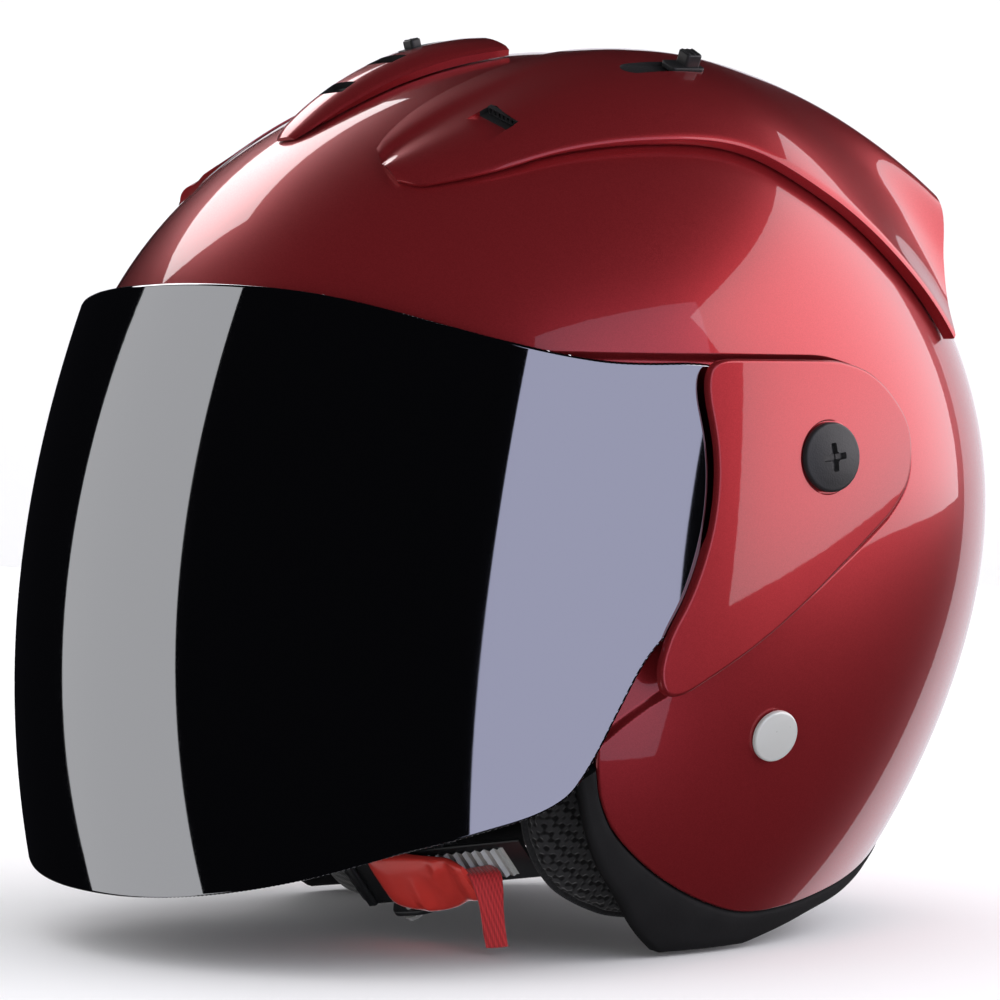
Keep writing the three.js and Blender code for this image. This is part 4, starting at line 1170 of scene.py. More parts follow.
def wing_loop(s):
    low, crest, inner = wing_low(s)[0], wing_crest(s)[0], wing_inner(s)[0]
    bulge = mix(1.2, -3.4, smooth(0.55, 1, s))
    lift = np.array([0, 0, 1.0])
    rails = [inner, (inner + crest) / 2 + lift * 0.4, crest, mix(crest, low, 0.33) + lift * bulge,
             mix(crest, low, 0.66) + lift * bulge, low]
    top = spline(rails, 40)
    top[:, 2] -= 0.55 * np.maximum(0, 1 - np.arange(len(top))[::-1] / 1.6) ** 2
    inward = (inner - low) / np.linalg.norm((inner - low)[:2] * [0.01, 1])
    lip = low + [0, 0, -LIP_DROP - 0.35]
    foot = np.array([lip[0], lip[1], WING_BASE]) + inward * [LIP_UNDERCUT, LIP_UNDERCUT, 0]
    heel = np.array([inner[0], inner[1], WING_BASE])
    under = [mix(foot, heel, t) for t in np.linspace(0, 1, 9)]
    rows = np.vstack([top, [lip], under])
    return shell_point(rows[:, 0], rows[:, 1], rows[:, 2])


SLIDER_PLACE = (88, 0.878, 6.6)
SCOOP_PLACE = (57, 0.886, 3.9)


def wing():
    stations = np.concatenate([np.linspace(0, 0.06, 10)[:-1], np.linspace(0.06, 1, 84)])
    piece = lofted("wing_skin_left", [wing_loop(s) for s in stations], 42, red_paint)
    slot_frame = shell_frame(*SLIDER_PLACE)
    scoop = shell_frame(*SCOOP_PLACE)
    slot = prism("cut_slot", capsule(27, 7.4), 4.2, slot_frame, material=black_plastic)
    ramp_shape = [(-19, 4.5), (-17, 1.0), (2.4, -3.4), (2.4, 6.5), (-10, 6.5)]
    hole_shape = [(2.2, -3.4), (6.8, -3.7), (6.8, -1.6), (4.6, -0.5), (2.2, 0.3)]
    ramp = prism("cut_ramp", ramp_shape, 14.4, scoop @ STANDING, material=red_paint)
    hole = prism("cut_hole", hole_shape, 14, scoop @ STANDING, material=black_plastic)
    return cut(piece, [slot, ramp, hole])


finished_pair(wing(), red_paint, "wing")


def crown_point(alpha, x, h):
    """A place given by its distance x from the mid-plane instead of f."""
    alpha, x, h = np.broadcast_arrays(np.asarray(alpha, float), x, h)
    f = (1 - (np.abs(x) / (HALF_WIDTH + h)) ** ROUND_IN) ** (1 / ROUND_OUT)
    points = shell_point(alpha, f, h)
    points[..., 0] = x
    return points


# the vent from front to rear: share of its length, alpha, half width and height
vent_shape = through([[0, 46.3, 4.5, 1.5], [0.06, 48.2, 8, 2.6], [0.25, 54.5, 11.5, 4.6],
                      [0.5, 62.5, 14, 6.2], [0.75, 70, 17.5, 6.8], [0.93, 76, 21, 6.3],
                      [1, 78.5, 21.5, 5.8]])
VENT_SLIDER = (72.4, 1, 6.4)


def vent_loop(s):
    alpha, width, height = vent_shape(s)[0]
    u = np.sin(np.linspace(-math.pi / 2, math.pi / 2, 49))
    rise = height * (1 - 0.55 * np.abs(u) ** 3) - 0.5 * smooth(0.94, 1, np.abs(u))
    top = crown_point(alpha, u * width, rise)
    foot = 1 - 0.7 / width
    under = crown_point(alpha, np.linspace(foot, -foot, 15) * width, WING_BASE)
    return np.vstack([top, under])


def centre_vent():
    stations = np.concatenate([[0, 0.01, 0.03], np.linspace(0.06, 0.97, 60), [0.985, 1]])
    piece = lofted("centre_vent_skin", [vent_loop(s) for s in stations], 42, red_paint)
    cutters = [prism("cut_slot", capsule(19, 6.6), 3.4, shell_frame(*VENT_SLIDER), material=black_plastic)]
    for alpha, half, deep in ((56.8, 6.2, 1.7), (65.2, 7.6, 1.9)):
        place = shell_frame(alpha, 1, vent_height(alpha))
        mouth = [(-5.5, 0.9), (-3.5, -0.3), (2.6, -deep * 1.6), (3.4, -deep), (2.6, 2.5), (-5.5, 2.5)]
        cutters.append(prism("cut_mouth", mouth, half * 2, place @ STANDING, material=black_plastic))
    return cut(piece, cutters)


def vent_height(alpha):
    s = np.linspace(0, 1, 200)
    shape = vent_shape(s)
    return float(np.interp(alpha, shape[:, 0], shape[:, 2]))


finished(centre_vent(), "helmet", red_paint, ["centre_vent_cover"])

spoiler_shape = through([[0, 96, 1.8], [0.12, 99, 3.2], [0.4, 109, 5.6], [0.7, 121, 8.8], [1, 133.5, 12.6]])
spoiler_width = through([[0, 37], [0.4, 39], [1, 37]])
GRILLE_PLACE = (133.5, 1, 6.5)
FIRST_SLIT, SLIT_STEP, SLIT_ASIDE = 112, 5.2, 26.0
SLIT_HEIGHTS = ([96, 109, 121, 133.5], [1.8, 5.6, 8.8, 12.6])     # the spoiler's height at a few alphas


def spoiler_loop(s):
    alpha, height = spoiler_shape(s)[0]
    width = spoiler_width(s)[0, 0]
    u = np.linspace(-1, 1, 41)
    channel = 0.7 * smooth(0.05, 0.4, s) * np.exp(-((np.abs(u) - 0.45) / 0.09) ** 2)
    top = crown_point(alpha, u * width, height - channel - 0.4 * smooth(0.97, 1, np.abs(u)))
    under = crown_point(alpha, np.linspace(0.98, -0.98, 21) * width, WING_BASE)
    return np.vstack([top, under])


def rear_spoiler():
    piece = lofted("rear_spoiler_skin", [spoiler_loop(s) for s in np.linspace(0, 1, 46)], 42, red_paint)
    mouth = shell_frame(*GRILLE_PLACE) @ FACING
    cutters = [prism("cut_mouth", capsule(50, 5.6, corner=2.2), 15, mouth, material=black_plastic)]
    f = float((1 - (SLIT_ASIDE / HALF_WIDTH) ** ROUND_IN) ** (1 / ROUND_OUT))
    for flip in (Matrix.Scale(-1, 4, (1, 0, 0)), Matrix.Identity(4)):
        for alpha in (FIRST_SLIT, FIRST_SLIT + SLIT_STEP, FIRST_SLIT + SLIT_STEP * 2):
            slit = flip @ shell_frame(alpha, f, float(np.interp(alpha, *SLIT_HEIGHTS)))
            cutters.append(prism("cut_slit", capsule(2.6, 13), 3.4, slit, material=black_plastic))
    return cut(piece, cutters)


finished(rear_spoiler(), "helmet", red_paint, ["rear_spoiler"])


def slider(name, place, base, knob, ridges):
    """A sliding shutter: a rounded plate with a ribbed knob on it, each given as length, width, shift, rise
    and thickness."""
    frame_at = shell_frame(*place)
    parts = []
    for (length, width, shift, rise, thick), corner, bevel in ((base, 1.2, 0.25), (knob, 0.9, 0.4)):
        at = frame_at @ Matrix.Translation((0, 0, rise / 1000))
        parts.append(bevelled(prism(name, capsule(length, width, shift, corner), thick, at), bevel))
    ridge_at = frame_at @ Matrix.Translation((0, 0, (rise + thick / 2) / 1000))
    for k in range(ridges):
        outline = capsule(0.6, width * 0.8, shift + (k - (ridges - 1) / 2) * length / ridges, 0.2, 3)
        parts.append(bevelled(prism(name, outline, 0.5, ridge_at), 0.15, 2))
    return joined(parts, name)


def joined(parts, name):
    """Several meshes as one piece."""
    first = parts[0]
    with bpy.context.temp_override(object=first, active_object=first, selected_objects=parts,
                                   selected_editable_objects=parts):
        bpy.ops.object.join()
    first.name = name
    return first


left_slider = slider("wing_slider_skin_left", SLIDER_PLACE, (11, 6.4, 7, -0.6, 1.6),
                     (5, 5.2, 8.4, 1.7, 4.2), 3)
right_slider = mirror_copy(left_slider, "wing_slider_skin_right")
vent_slider = slider("centre_vent_slider_skin", VENT_SLIDER, (8, 5.6, -4.8, -0.4, 1.3),
                     (3.6, 4.8, -4.8, 1.2, 2.8), 2)
finished(left_slider, "left_slider", black_plastic, ["wing_slider_left"])
finished(right_slider, "right_slider", black_plastic, ["wing_slider_right"])
finished(vent_slider, "centre_slider", black_plastic, ["centre_vent_slider"])

# ---- edge trims ------------------------------------------------------------------------------------------


def strip_along(name, stations):
    """A closed strip through section loops: the last one lies in the mid-plane, the rest are mirrored."""
    loops = [np.asarray(loop) for loop in stations]
    other = [loop * MIRROR for loop in loops[:-1]][::-1]
    return lofted(name, [*loops, *other], 50)


def to_mid_plane(places):
    """A side-view line cut where it meets the mid-plane."""
    _, f = shell_place(places[:, 0], places[:, 1])
    beyond = np.flatnonzero(f > 1)
    last = beyond[0] if len(beyond) else len(f)
    t = (1 - f[last - 1]) / (f[last] - f[last - 1])
    return np.vstack([places[:last], mix(places[last - 1], places[last], t)])


def band_point(place, h):
    alpha, f = shell_place(place[0], place[1])
    return shell_point(alpha, min(float(f), 1.0), h)


def neck_trim():
    """The rubber binding of the neck: a face flush with the shell and a rolled lower edge."""
    upper = to_mid_plane(respaced(neck_edge - [0, 0.35], 1.0))
    lower = to_mid_plane(respaced(binding_edge, 1.0))
    upper = respaced(upper, 0.2)
    lower = respaced(lower, 0.2)
    loops = []
    for t in np.linspace(0, 1, 150):
        t = 1 - (1 - t) ** 1.5
        high = upper[min(int(t * (len(upper) - 1)), len(upper) - 1)]
        low = lower[min(int(t * (len(lower) - 1)), len(lower) - 1)]
        section = []
        width = np.linalg.norm(high - low)
        roll = min(3.2, width * 0.3)
        for share, h in ((0, -0.5), (0.02, 0.05), (0.06, 0.35), (0.3, 0.4), (0.6, 0.4)):
            section.append(band_point(mix(high, low, share), h))
        for k in range(7):
            a = math.pi * k / 6
            share = 1 - (roll - roll * math.sin(a)) / width
            section.append(band_point(mix(high, low, share), 0.4 - 4.6 * (1 - math.cos(a))))
        for share in (0.6, 0.3, 0):
            section.append(band_point(mix(high, low, share), -8.8))
        section[-1] = band_point(high, -8.2)
        loops.append(np.array(section))
    loops[-1][:, 0] = 0
    return strip_along("neck_binding", loops)


# the beading's section: offset from the port's edge, and height over the paint
BEADING = ((0.35, -0.9), (0.6, -0.65), (2.2, -0.6), (3.2, -0.8), (3.9, -1.6), (4.1, -3.2), (3.9, -4.9),
           (3.2, -5.9), (2.2, -6.4), (0.6, -6.4), (0.35, -6.2))


def face_trim():
    """The thin rubber beading round the face port."""
    path = respaced(port_edge[::-1], 0.5)
    path = to_mid_plane(path[path[:, 1] > 57.5])
    fine_from = len(path) - 12
    path = path[np.unique(np.concatenate([np.arange(0, fine_from, 3), np.arange(fine_from, len(path))]))]
    loops = []
    for k, place in enumerate(path):
        before, after = path[max(k - 1, 0)], path[min(k + 1, len(path) - 1)]
        along = (after - before) / max(np.linalg.norm(after - before), 1e-9)
        outward = np.array([-abs(along[1]), -abs(along[0])])
        section = []
        for offset, h in BEADING:
            section.append(band_point(place + outward * offset, h))
        loops.append(np.array(section))
    loops[-1][:, 0] = 0
    return strip_along("face_beading", loops)


finished(neck_trim(), "helmet", trim_rubber, ["neck_trim"])
finished(face_trim(), "helmet", trim_rubber, ["face_trim"])

# ---- screws, rivets and grilles ---------------------------------------------------------------------------


def turned(name, profile, at, out, segments=64, material=None, degrees=30):
    """A revolved piece: profile rows are (radius, height) in millimetres along the out direction."""
    out = Vector(out).normalized()
    spin = out.to_track_quat("Z", "X").to_matrix().to_4x4()
    matrix = Matrix.Translation(Vector(at) / 1000) @ spin
    points, rings = [], []
    for radius, height in profile:
        if radius < 1e-6:
            rings.append([len(points)])
            points.append((0, 0, height))
            continue
        rings.append(list(range(len(points), len(points) + segments)))
        for k in range(segments):
            a = 2 * math.pi * k / segments
            points.append((radius * math.cos(a), radius * math.sin(a), height))
    faces = []
    for low, high in zip(rings, rings[1:]):
        for k in range(segments):
            n = (k + 1) % segments
            corners = [low[k % len(low)], low[n % len(low)], high[n % len(high)], high[k % len(high)]]
            corners = list(dict.fromkeys(corners))
            if len(corners) > 2:
                faces.append(corners)
    if len(rings[0]) > 1:
        faces.append(rings[0][::-1])
    if len(rings[-1]) > 1:
        faces.append(rings[-1])
    mesh = bpy.data.meshes.new(name)
    mesh.from_pydata([tuple(matrix @ (Vector(p) / 1000)) for p in points], [], faces)
    if material:
        mesh.materials.append(material)
    return crease(fix_normals(placed(name, mesh)), degrees), matrix


def arc_profile(radius, corner, height, dome):
    """A button's profile from its edge over a rounded corner and a low dome to its axis."""
    steps = 6
    flat_part = radius - corner
    rows = []
    for t in range(steps + 1):
        a = math.radians(90 * t / steps)
        rows.append((flat_part + corner * math.cos(a), height - corner + corner * math.sin(a)))
    for t in range(1, steps + 1):
        rows.append((flat_part * (1 - t / steps), height + dome * (1 - (1 - t / steps) ** 2)))
    return rows


SCREW_SHANK = 4.0


def pivot_screw(side, word):
    at = (side * HEAD_UNDER, PIVOT[0] + SHIFT[1], PIVOT[1] + SHIFT[2])
    profile = [(0, -17), (SCREW_SHANK, -17), (SCREW_SHANK, 0), (HEAD_RADIUS - 0.25, 0), (HEAD_RADIUS, 0.25)]
    profile += arc_profile(HEAD_RADIUS, 0.9, 1.75, 0.85)
    piece, matrix = turned(f"pivot_screw_skin_{word}", profile, at, (side, 0, 0), material=black_plastic)
    lean = Matrix.Rotation(math.radians(8), 4, "Z")
    deep = Matrix.Translation((0, 0, 0.0026))
    place = matrix @ deep @ lean
    slot, middle = capsule(9.6, 2.2, corner=0.5, steps=4), capsule(3.8, 3.8, corner=0.9, steps=4)
    cutters = []
    for turn in (0, math.pi / 2):
        turned_slot = place @ Matrix.Rotation(turn, 4, "Z")
        cutters.append(prism("cut_cross", slot, 2.8, turned_slot, 0.35, black_plastic))
    cutters.append(prism("cut_cross", middle, 3.4, place, 0.5, black_plastic))
    piece = cut(piece, cutters, keep_shading=False)
    finished(piece, "helmet", black_plastic, [f"pivot_screw_{word}"])


def strap_rivet(side, word):
    x = float(egg_x(*[np.array([v]) for v in RIVET])[0])
    at = (side * x, RIVET[0] + SHIFT[1], RIVET[1] + SHIFT[2])
    out = (side * math.cos(RIVET_TILT), 0, -math.sin(RIVET_TILT))
    profile = [(0, -20), (2.4, -20), (2.4, 0.3), (7.0, 0.3), (7.1, 0.45)] + arc_profile(7.1, 0.75, 1.75, 0.45)
    piece, _ = turned(f"strap_rivet_skin_{word}", profile, at, out, material=bright_steel)
    finished(piece, "helmet", bright_steel, [f"strap_rivet_{word}"])


for side, word in ((1, "left"), (-1, "right")):
    pivot_screw(side, word)
    strap_rivet(side, word)


def slatted(name, place, offset, size, slats, rim):
    """A grille: a rounded rim with even slats across it, facing along its frame's first direction."""
    face = shell_frame(*place) @ Matrix.Translation([v / 1000 for v in offset]) @ FACING
    thick, wide, high = size
    parts = []
    for sign in (-1, 1):
        bar = Matrix.Translation((0, sign * (high - rim) / 2000, 0))
        post = Matrix.Translation((sign * (wide - rim) / 2000, 0, 0))
        for length, width, at in ((wide, rim, bar), (rim, high - 2 * rim, post)):
            outline = capsule(length, width, corner=rim * 0.3, steps=3)
            parts.append(bevelled(prism(name, outline, thick, face @ at), 0.12, 2))
    for k in range(1, slats + 1):
        at = -wide / 2 + wide * k / (slats + 1)
        lean = Matrix.Translation((at / 1000, 0, 0)) @ Matrix.Rotation(0.5, 4, "Y")
        slat = capsule(0.7, high - 2 * rim + 0.3, corner=0.2, steps=2)
        parts.append(prism(name, slat, thick * 0.9, face @ lean))
    return joined(parts, name)


exhaust = slatted("exhaust_grille_slats", GRILLE_PLACE, (-4.5, 0, 0), (1.6, 49, 4.8), 22, 0.8)
finished(exhaust, "helmet", black_plastic, ["exhaust_grille"])
scoop = slatted("scoop_grille_slats_left", SCOOP_PLACE, (5.2, 0, -2.2), (1.2, 12, 2.4), 6, 0.5)
finished_pair(scoop, black_plastic, "scoop_grille")

# ---- padding ----------------------------------------------------------------------------------------------


def remeshed(name, node, voxel):
    """An even copy of a CAD node's solid."""
    piece = placed(name, frame["nodes"][node].data.copy())
    piece.data.materials.clear()
    modifier = piece.modifiers.new("remesh", "REMESH")
    modifier.mode = "VOXEL"
    modifier.voxel_size = voxel / 1000
    apply_modifiers(piece)
    piece.name = name
    return piece


def vertex_places(piece):
    places = np.empty(len(piece.data.vertices) * 3)
    piece.data.vertices.foreach_get("co", places)
    return places.reshape(-1, 3)


def move_vertices(piece, places):
    piece.data.vertices.foreach_set("co", places.ravel())
    piece.data.update()


def relaxed(piece, passes):
    modifier = piece.modifiers.new("relax", "SMOOTH")
    modifier.iterations = passes
    modifier.factor = 0.5
    return apply_modifiers(piece)


PAD_PRESSURE, PAD_STIFFNESS, PAD_BENDING, PAD_FRAMES = 4.0, 15, 1.5, 14


def blown_up(piece, cap):
    """Lets cloth pressure move a padded piece, each place by no more than a cap (millimetres)."""
    start = vertex_places(piece)
    cloth = piece.modifiers.new("cloth", "CLOTH")
    settings = cloth.settings
    settings.quality = 5
    settings.use_pressure = True
    settings.uniform_pressure_force = PAD_PRESSURE
    settings.tension_stiffness = PAD_STIFFNESS
    settings.compression_stiffness = PAD_STIFFNESS
    settings.bending_stiffness = PAD_BENDING
    settings.effector_weights.gravity = 0
    cloth.collision_settings.use_collision = False
    for step in range(1, PAD_FRAMES + 1):
        bpy.context.scene.frame_set(step)
    moved = vertex_places(piece.evaluated_get(bpy.context.evaluated_depsgraph_get())) - start
    size = np.maximum(np.linalg.norm(moved, axis=1), 1e-9)[:, None]
    piece.modifiers.clear()
    move_vertices(piece, start + moved * np.minimum(1, cap / 1000 / size))
    bpy.context.scene.frame_set(1)


def puffed(name, node, voxel, shrink, cap, passes=4):
    """Padding: the CAD solid drawn in a little (millimetres) and blown up by cloth pressure."""
    piece = relaxed(remeshed(name, node, voxel), passes)
    normals = np.array([v.normal[:] for v in piece.data.vertices])
    move_vertices(piece, vertex_places(piece) - normals * shrink / 1000)
    blown_up(piece, cap)
    relaxed(piece, 2)
    modifier = piece.modifiers.new("fine", "SUBSURF")
    modifier.levels = modifier.render_levels = 1
    apply_modifiers(piece)
    smooth_shaded(piece.data)
    piece.name = name
    return piece


def tube(name, path, radius, material, sides=10):
    """A round cord along a path given in millimetres."""
    path = np.asarray(path, float)
    loops = []
    tangents = np.gradient(path, axis=0)
    side = np.cross(tangents[0], [0.3, 0.2, 1.0])
    angles = np.linspace(0, 2 * math.pi, sides, endpoint=False)
    for place, tangent in zip(path, tangents):
        t = tangent / np.linalg.norm(tangent)
        side = side - t * (side @ t)
        side /= np.linalg.norm(side)
        up = np.cross(t, side)
        loops.append(place + radius * (np.cos(angles)[:, None] * side + np.sin(angles)[:, None] * up))
    return lofted(name, loops, 60, material)


pad_outline = np.vstack([
    spline([[-44, 76], [-47.5, 62], [-48.5, 46], [-45, 31], [-36.5, 20], [-25.5, 14], [-13, 10.5]], 30),
    spline([[6, 9.5], [24, 12], [44, 18], [54, 27], [57, 41], [54, 60], [44, 76]], 24)])

cheek = puffed("cheek_cushion_left", "cheek_pad_left", 3.6, 1.6, 2.6)
cheek_left, cheek_right = finished_pair(cheek, liner_cloth, "cheek_pad")


def cheek_piping():
    """A cord sewn round the cushion, laid on its surface."""
    middle = np.array([4.0, 42.0])
    parts = []
    for share, x in ((0.93, 40.0), (1.3, 78.0)):
        path = []
        for y, z in middle + (respaced(pad_outline, 2.0) - middle) * share:
            place, normal = cheek_left.closest_point_on_mesh(Vector(to_row([x, y, z])))[1:3]
            path.append(np.array(place + normal * 0.0004) * 1000 - SHIFT)
        path = np.array(path)
        for _ in range(4):
            path[1:-1] = 0.5 * path[1:-1] + 0.25 * (path[:-2] + path[2:])
        parts.append(tube("cheek_piping", path, 1.0, plain_cloth))
    return joined(parts, "cheek_piping_left")


finished_pair(cheek_piping(), plain_cloth)

nape = puffed("nape_cushion", "neck_roll", 4.2, 1.8, 3.0)
finished(nape, "helmet", plain_cloth, ["neck_roll"])
crown = puffed("crown_cushion", "crown_liner", 4.2, 1.0, 2.2)
finished(crown, "helmet", liner_cloth, ["crown_liner"])
chin = puffed("chin_cushion", "chin_pad", 2.2, 0.7, 1.6, passes=2)
finished(chin, "helmet", plain_cloth, ["chin_pad"])


def foam_shell():
    piece = relaxed(remeshed("eps_foam", "eps_liner", 3.2), 2)
    smooth_shaded(piece.data)
    return piece


finished(foam_shell(), "helmet", shock_foam, ["eps_liner"])

# ---- chin strap and buckle -----------------------------------------------------------------------

STRAP_WIDTH, STRAP_THICK = 22.0, 2.0
SLOPE = np.array([0, -0.8, -0.6])
ACROSS = np.array([0, -0.6, 0.8])
STRAP_PLACES = [[99.5, -8], [99.5, 5], [97, 17], [90, 28.5], [77, 40], [60, 50.5], [38, 61], [14, 69],
                [-14, 71], [-38, 63.5], [-60, 50.5], [-77, 40], [-90, 28.5], [-97, 17], [-99.5, 5],
                [-99.5, -8]]
PATH_STEPS, FINE_STEPS, BUCKLE_AT = 60, 240, 27
strap_path = spline(STRAP_PLACES, FINE_STEPS)
FINER = FINE_STEPS // PATH_STEPS


def strap_point(x, v, across=0.0):
    return np.array([x, RIVET[0], RIVET[1]]) + SLOPE * v * [0, 1, 1] + ACROSS * across


def ribbon(name, start, stop, width, thick, material):
    """A woven band along part of the strap's path, with rounded edges."""
    loops = []
    for i in range(int(start * FINER), int(stop * FINER) + 1):
        x, v = strap_path[i]
        before, after = strap_path[max(i - 1, 0)], strap_path[min(i + 1, FINE_STEPS)]
        dx, dv = after - before
        size = math.hypot(dx, dv)
        nx, nv = dv / size, -dx / size
        loop = []
        for k in range(28):
            a = 2 * math.pi * k / 28
            w = width / 2 * squared(math.cos(a), 0.35)
            t = thick / 2 * squared(math.sin(a), 0.6)
            loop.append(strap_point(x - nx * t, v - nv * t, w))
        loops.append(loop)
    return lofted(name, loops, 60, material)


def stitches(name, start, stop, rows, lift, material):
    """Rows of short raised stitches along the strap."""
    parts = []
    for w in rows:
        i = start * FINER
        while i < stop * FINER:
            (x0, v0), (x1, v1) = strap_path[int(i)], strap_path[int(i) + 1]
            dx, dv = x1 - x0, v1 - v0
            size = math.hypot(dx, dv)
            nx, nv = dv / size, -dx / size
            path = []
            for t in np.linspace(0, 1, 5):
                rise = lift + 0.16 * math.sin(math.pi * t)
                path.append(strap_point(x0 + dx * t - nx * rise, v0 + dv * t - nv * rise, w))
            parts.append(tube(name, path, 0.22, material, 6))
            i += 1.6
    return joined(parts, name)


for word, start, stop in (("left", 0, 18), ("right", 31, PATH_STEPS)):
    band = ribbon(f"strap_band_{word}", start, stop, STRAP_WIDTH, STRAP_THICK, webbing)
    finished(band, "helmet", webbing, [f"strap_webbing_{word}"])
for word, start, stop in (("left", 13, 17.5), ("right", 40, 46)):
    rows = stitches(f"strap_stitches_{word}", start, stop, (-8.5, -4, 4, 8.5), -1.0, plain_cloth)
    finished(rows, "helmet", plain_cloth)


def buckle_matrix():
    ahead, behind = strap_path[(BUCKLE_AT - 4) * FINER], strap_path[(BUCKLE_AT + 4) * FINER]
    along = strap_point(*(ahead - behind)) - strap_point(0, 0)
    along /= np.linalg.norm(along)
    out = np.cross(along, ACROSS)
    out /= np.linalg.norm(out)
    return frame_matrix((along, ACROSS, out), strap_point(*strap_path[BUCKLE_AT * FINER]))


BUCKLE = buckle_matrix()


def in_buckle(x, y, z):
    return np.array(BUCKLE @ Vector((x / 1000, y / 1000, z / 1000))) * 1000


def buckle_frame():
    base = Matrix.Translation((-0.002, 0, -0.00045))
    parts = [bevelled(prism("buckle", capsule(48, 24, corner=3.0), 2.1, BUCKLE @ base), 0.35)]
    outline = rounded([[-14, -0.3], [14, -0.3], [10, 5.6], [2, 7.6], [-9, 7.2]], 1.0, 4)
    for side in (-1, 1):
        cheek = BUCKLE @ Matrix.Translation((0, side * 0.0112, 0)) @ STANDING
        parts.append(bevelled(prism("buckle", outline, 1.6, cheek), 0.3))
    for x in (-22, 18):
        bar = BUCKLE @ Matrix.Translation((x / 1000, 0, 0.0012)) @ STANDING
        parts.append(bevelled(prism("buckle", capsule(3.4, 1.8, corner=0.8, steps=5), 23, bar), 0.2, 2))
    return joined(parts, "buckle_channel")


finished(buckle_frame(), "helmet", dark_steel, ["buckle_frame"])

PIN_X, PIN_Z, PIN_RADIUS = -3.0, 4.6, 1.8
across_out = np.array(BUCKLE.to_3x3() @ Vector((0, 1, 0)))
pin_profile = [(0, -14.4), (1.5, -14.2), (2.7, -13.6), (3.3, -12.7), (3.3, -12.4), (PIN_RADIUS, -12.4),
               (PIN_RADIUS, 12.4), (3.3, 12.4), (3.3, 12.7), (2.7, 13.6), (1.5, 14.2), (0, 14.4)]
pin, _ = turned("buckle_pin_skin", pin_profile, in_buckle(PIN_X, 0, PIN_Z), across_out, 48, bright_steel, 50)
finished(pin, "helmet", bright_steel, ["buckle_pin"])

# the lever's stations: along, lower side, upper side, and its two edges across
lever_shape = through([[-6.4, 3.2, 6.4, -6.0, 9.6], [-4, 2.4, 8.8, -7.2, 9.6], [0, 2.8, 9.7, -8.6, 9.7],
                       [6, 4.2, 9.6, -9.9, 9.3], [12, 5.2, 9.4, -10.4, 8.6], [19, 6.0, 9.4, -9.4, 7.8],
                       [26, 7.2, 10.4, -6.9, 7.6], [31, 9.2, 12.2, -5.6, 7.2], [34.4, 10.9, 12.6, -5.0, 6.4]])


def buckle_lever():
    loops = []
    for x in np.linspace(-6.4, 34.4, 80):
        low, high, near, far = lever_shape(x)[0]
        half, middle = (far - near) / 2, (far + near) / 2
        loop = []
        for k in range(52):
            a = 2 * math.pi * (k + 0.5) / 52
            up = math.sin(a)
            y = middle + half * squared(math.cos(a), 0.45)
            z = (high + low) / 2 + (high - low) / 2 * squared(up, 0.55)
            if up > 0:
                sweep = x - 15 - 0.9 * y - 2.2 * math.sin(0.45 * y)
                z += 0.7 * math.exp(-(sweep / 2.2) ** 2) * up - 0.5 * math.exp(-((sweep - 6) / 3.5) ** 2) * up
            loop.append(in_buckle(x, y, z) - SHIFT)
        loops.append(loop)
    piece = lofted("lever_grip", loops, 60, red_plastic)
    spring_at = BUCKLE @ Matrix.Translation((-0.00275, 0, 0.0022))
    room = prism("cut_spring", capsule(11.5, 8.4, corner=1.0), 10, spring_at, material=red_plastic)
    bore = BUCKLE @ Matrix.Translation((PIN_X / 1000, 0, PIN_Z / 1000)) @ STANDING
    hole = prism("cut_bore", capsule(4.2, 4.2, corner=2.099), 30, bore, material=red_plastic)
    return cut(piece, [room, hole])


finished(buckle_lever(), "release_lever", red_plastic, ["buckle_lever"])


def lever_spring():
    turns, wire = 5, 0.5
    angles = np.linspace(0, 2 * math.pi * turns, 20 * turns)
    path = []
    for a in angles:
        along = -3.2 + 6.4 * a / (2 * math.pi * turns)
        path.append(in_buckle(PIN_X + 2.75 * math.cos(a), along, PIN_Z + 2.75 * math.sin(a)) - SHIFT)
    return tube("lever_coil", path, wire, bright_steel, 8)


finished(lever_spring(), "helmet", bright_steel, ["lever_spring"])


def toothed_strip():
    """The springy strip that the lever's pawl holds: even saw teeth that stop short of its sewn end."""
    places = []
    back_to_buckle = BUCKLE.inverted()
    for i in range(12 * FINER, BUCKLE_AT * FINER + 1):
        place = back_to_buckle @ Vector(to_row(strap_point(*strap_path[i])))
        places.append((place.x * 1000, place.z * 1000 + STRAP_THICK / 2 + 0.4))
    places = np.array(places[::-1])
    pitch, teeth = 3.6, 12

    def floor_at(x):
        height = np.interp(x, places[:, 0], places[:, 1])
        return (height + 1 + np.hypot(height - 1, 1)) / 2

    loops = []
    end = 6 + pitch * teeth
    for x in np.arange(6, end + 0.01, pitch / 12):
        phase = ((x - 6) / pitch) % 1
        tooth = 1.15 * (phase / 0.85 if phase < 0.85 else (1 - phase) / 0.15)
        low = floor_at(x)
        rim = low + 1.15
        high = rim + (tooth if x < end - 2.4 * pitch else 0)
        section = [(-6.5, low + 0.25), (-6.5, rim - 0.2), (-6.2, rim), (-5.0, rim), (-4.7, high), (4.7, high),
                   (5.0, rim), (6.2, rim), (6.5, rim - 0.2), (6.5, low + 0.25), (6.2, low), (-6.2, low)]
        loops.append([in_buckle(x, y, z) - SHIFT for y, z in section])
    strip = lofted("ratchet_teeth", loops, 25, bright_steel)
    strip.data.materials.append(dark_steel)
    for face in strip.data.polygons:
        place = back_to_buckle @ face.center * 1000
        face.material_index = 0 if abs(place.y) < 4.76 and place.x < end - 2 * pitch else 1
    return strip


finished(toothed_strip(), "helmet", bright_steel, ["ratchet_strip"])

LEVER_TIP = (35.6, 0, 9.5)


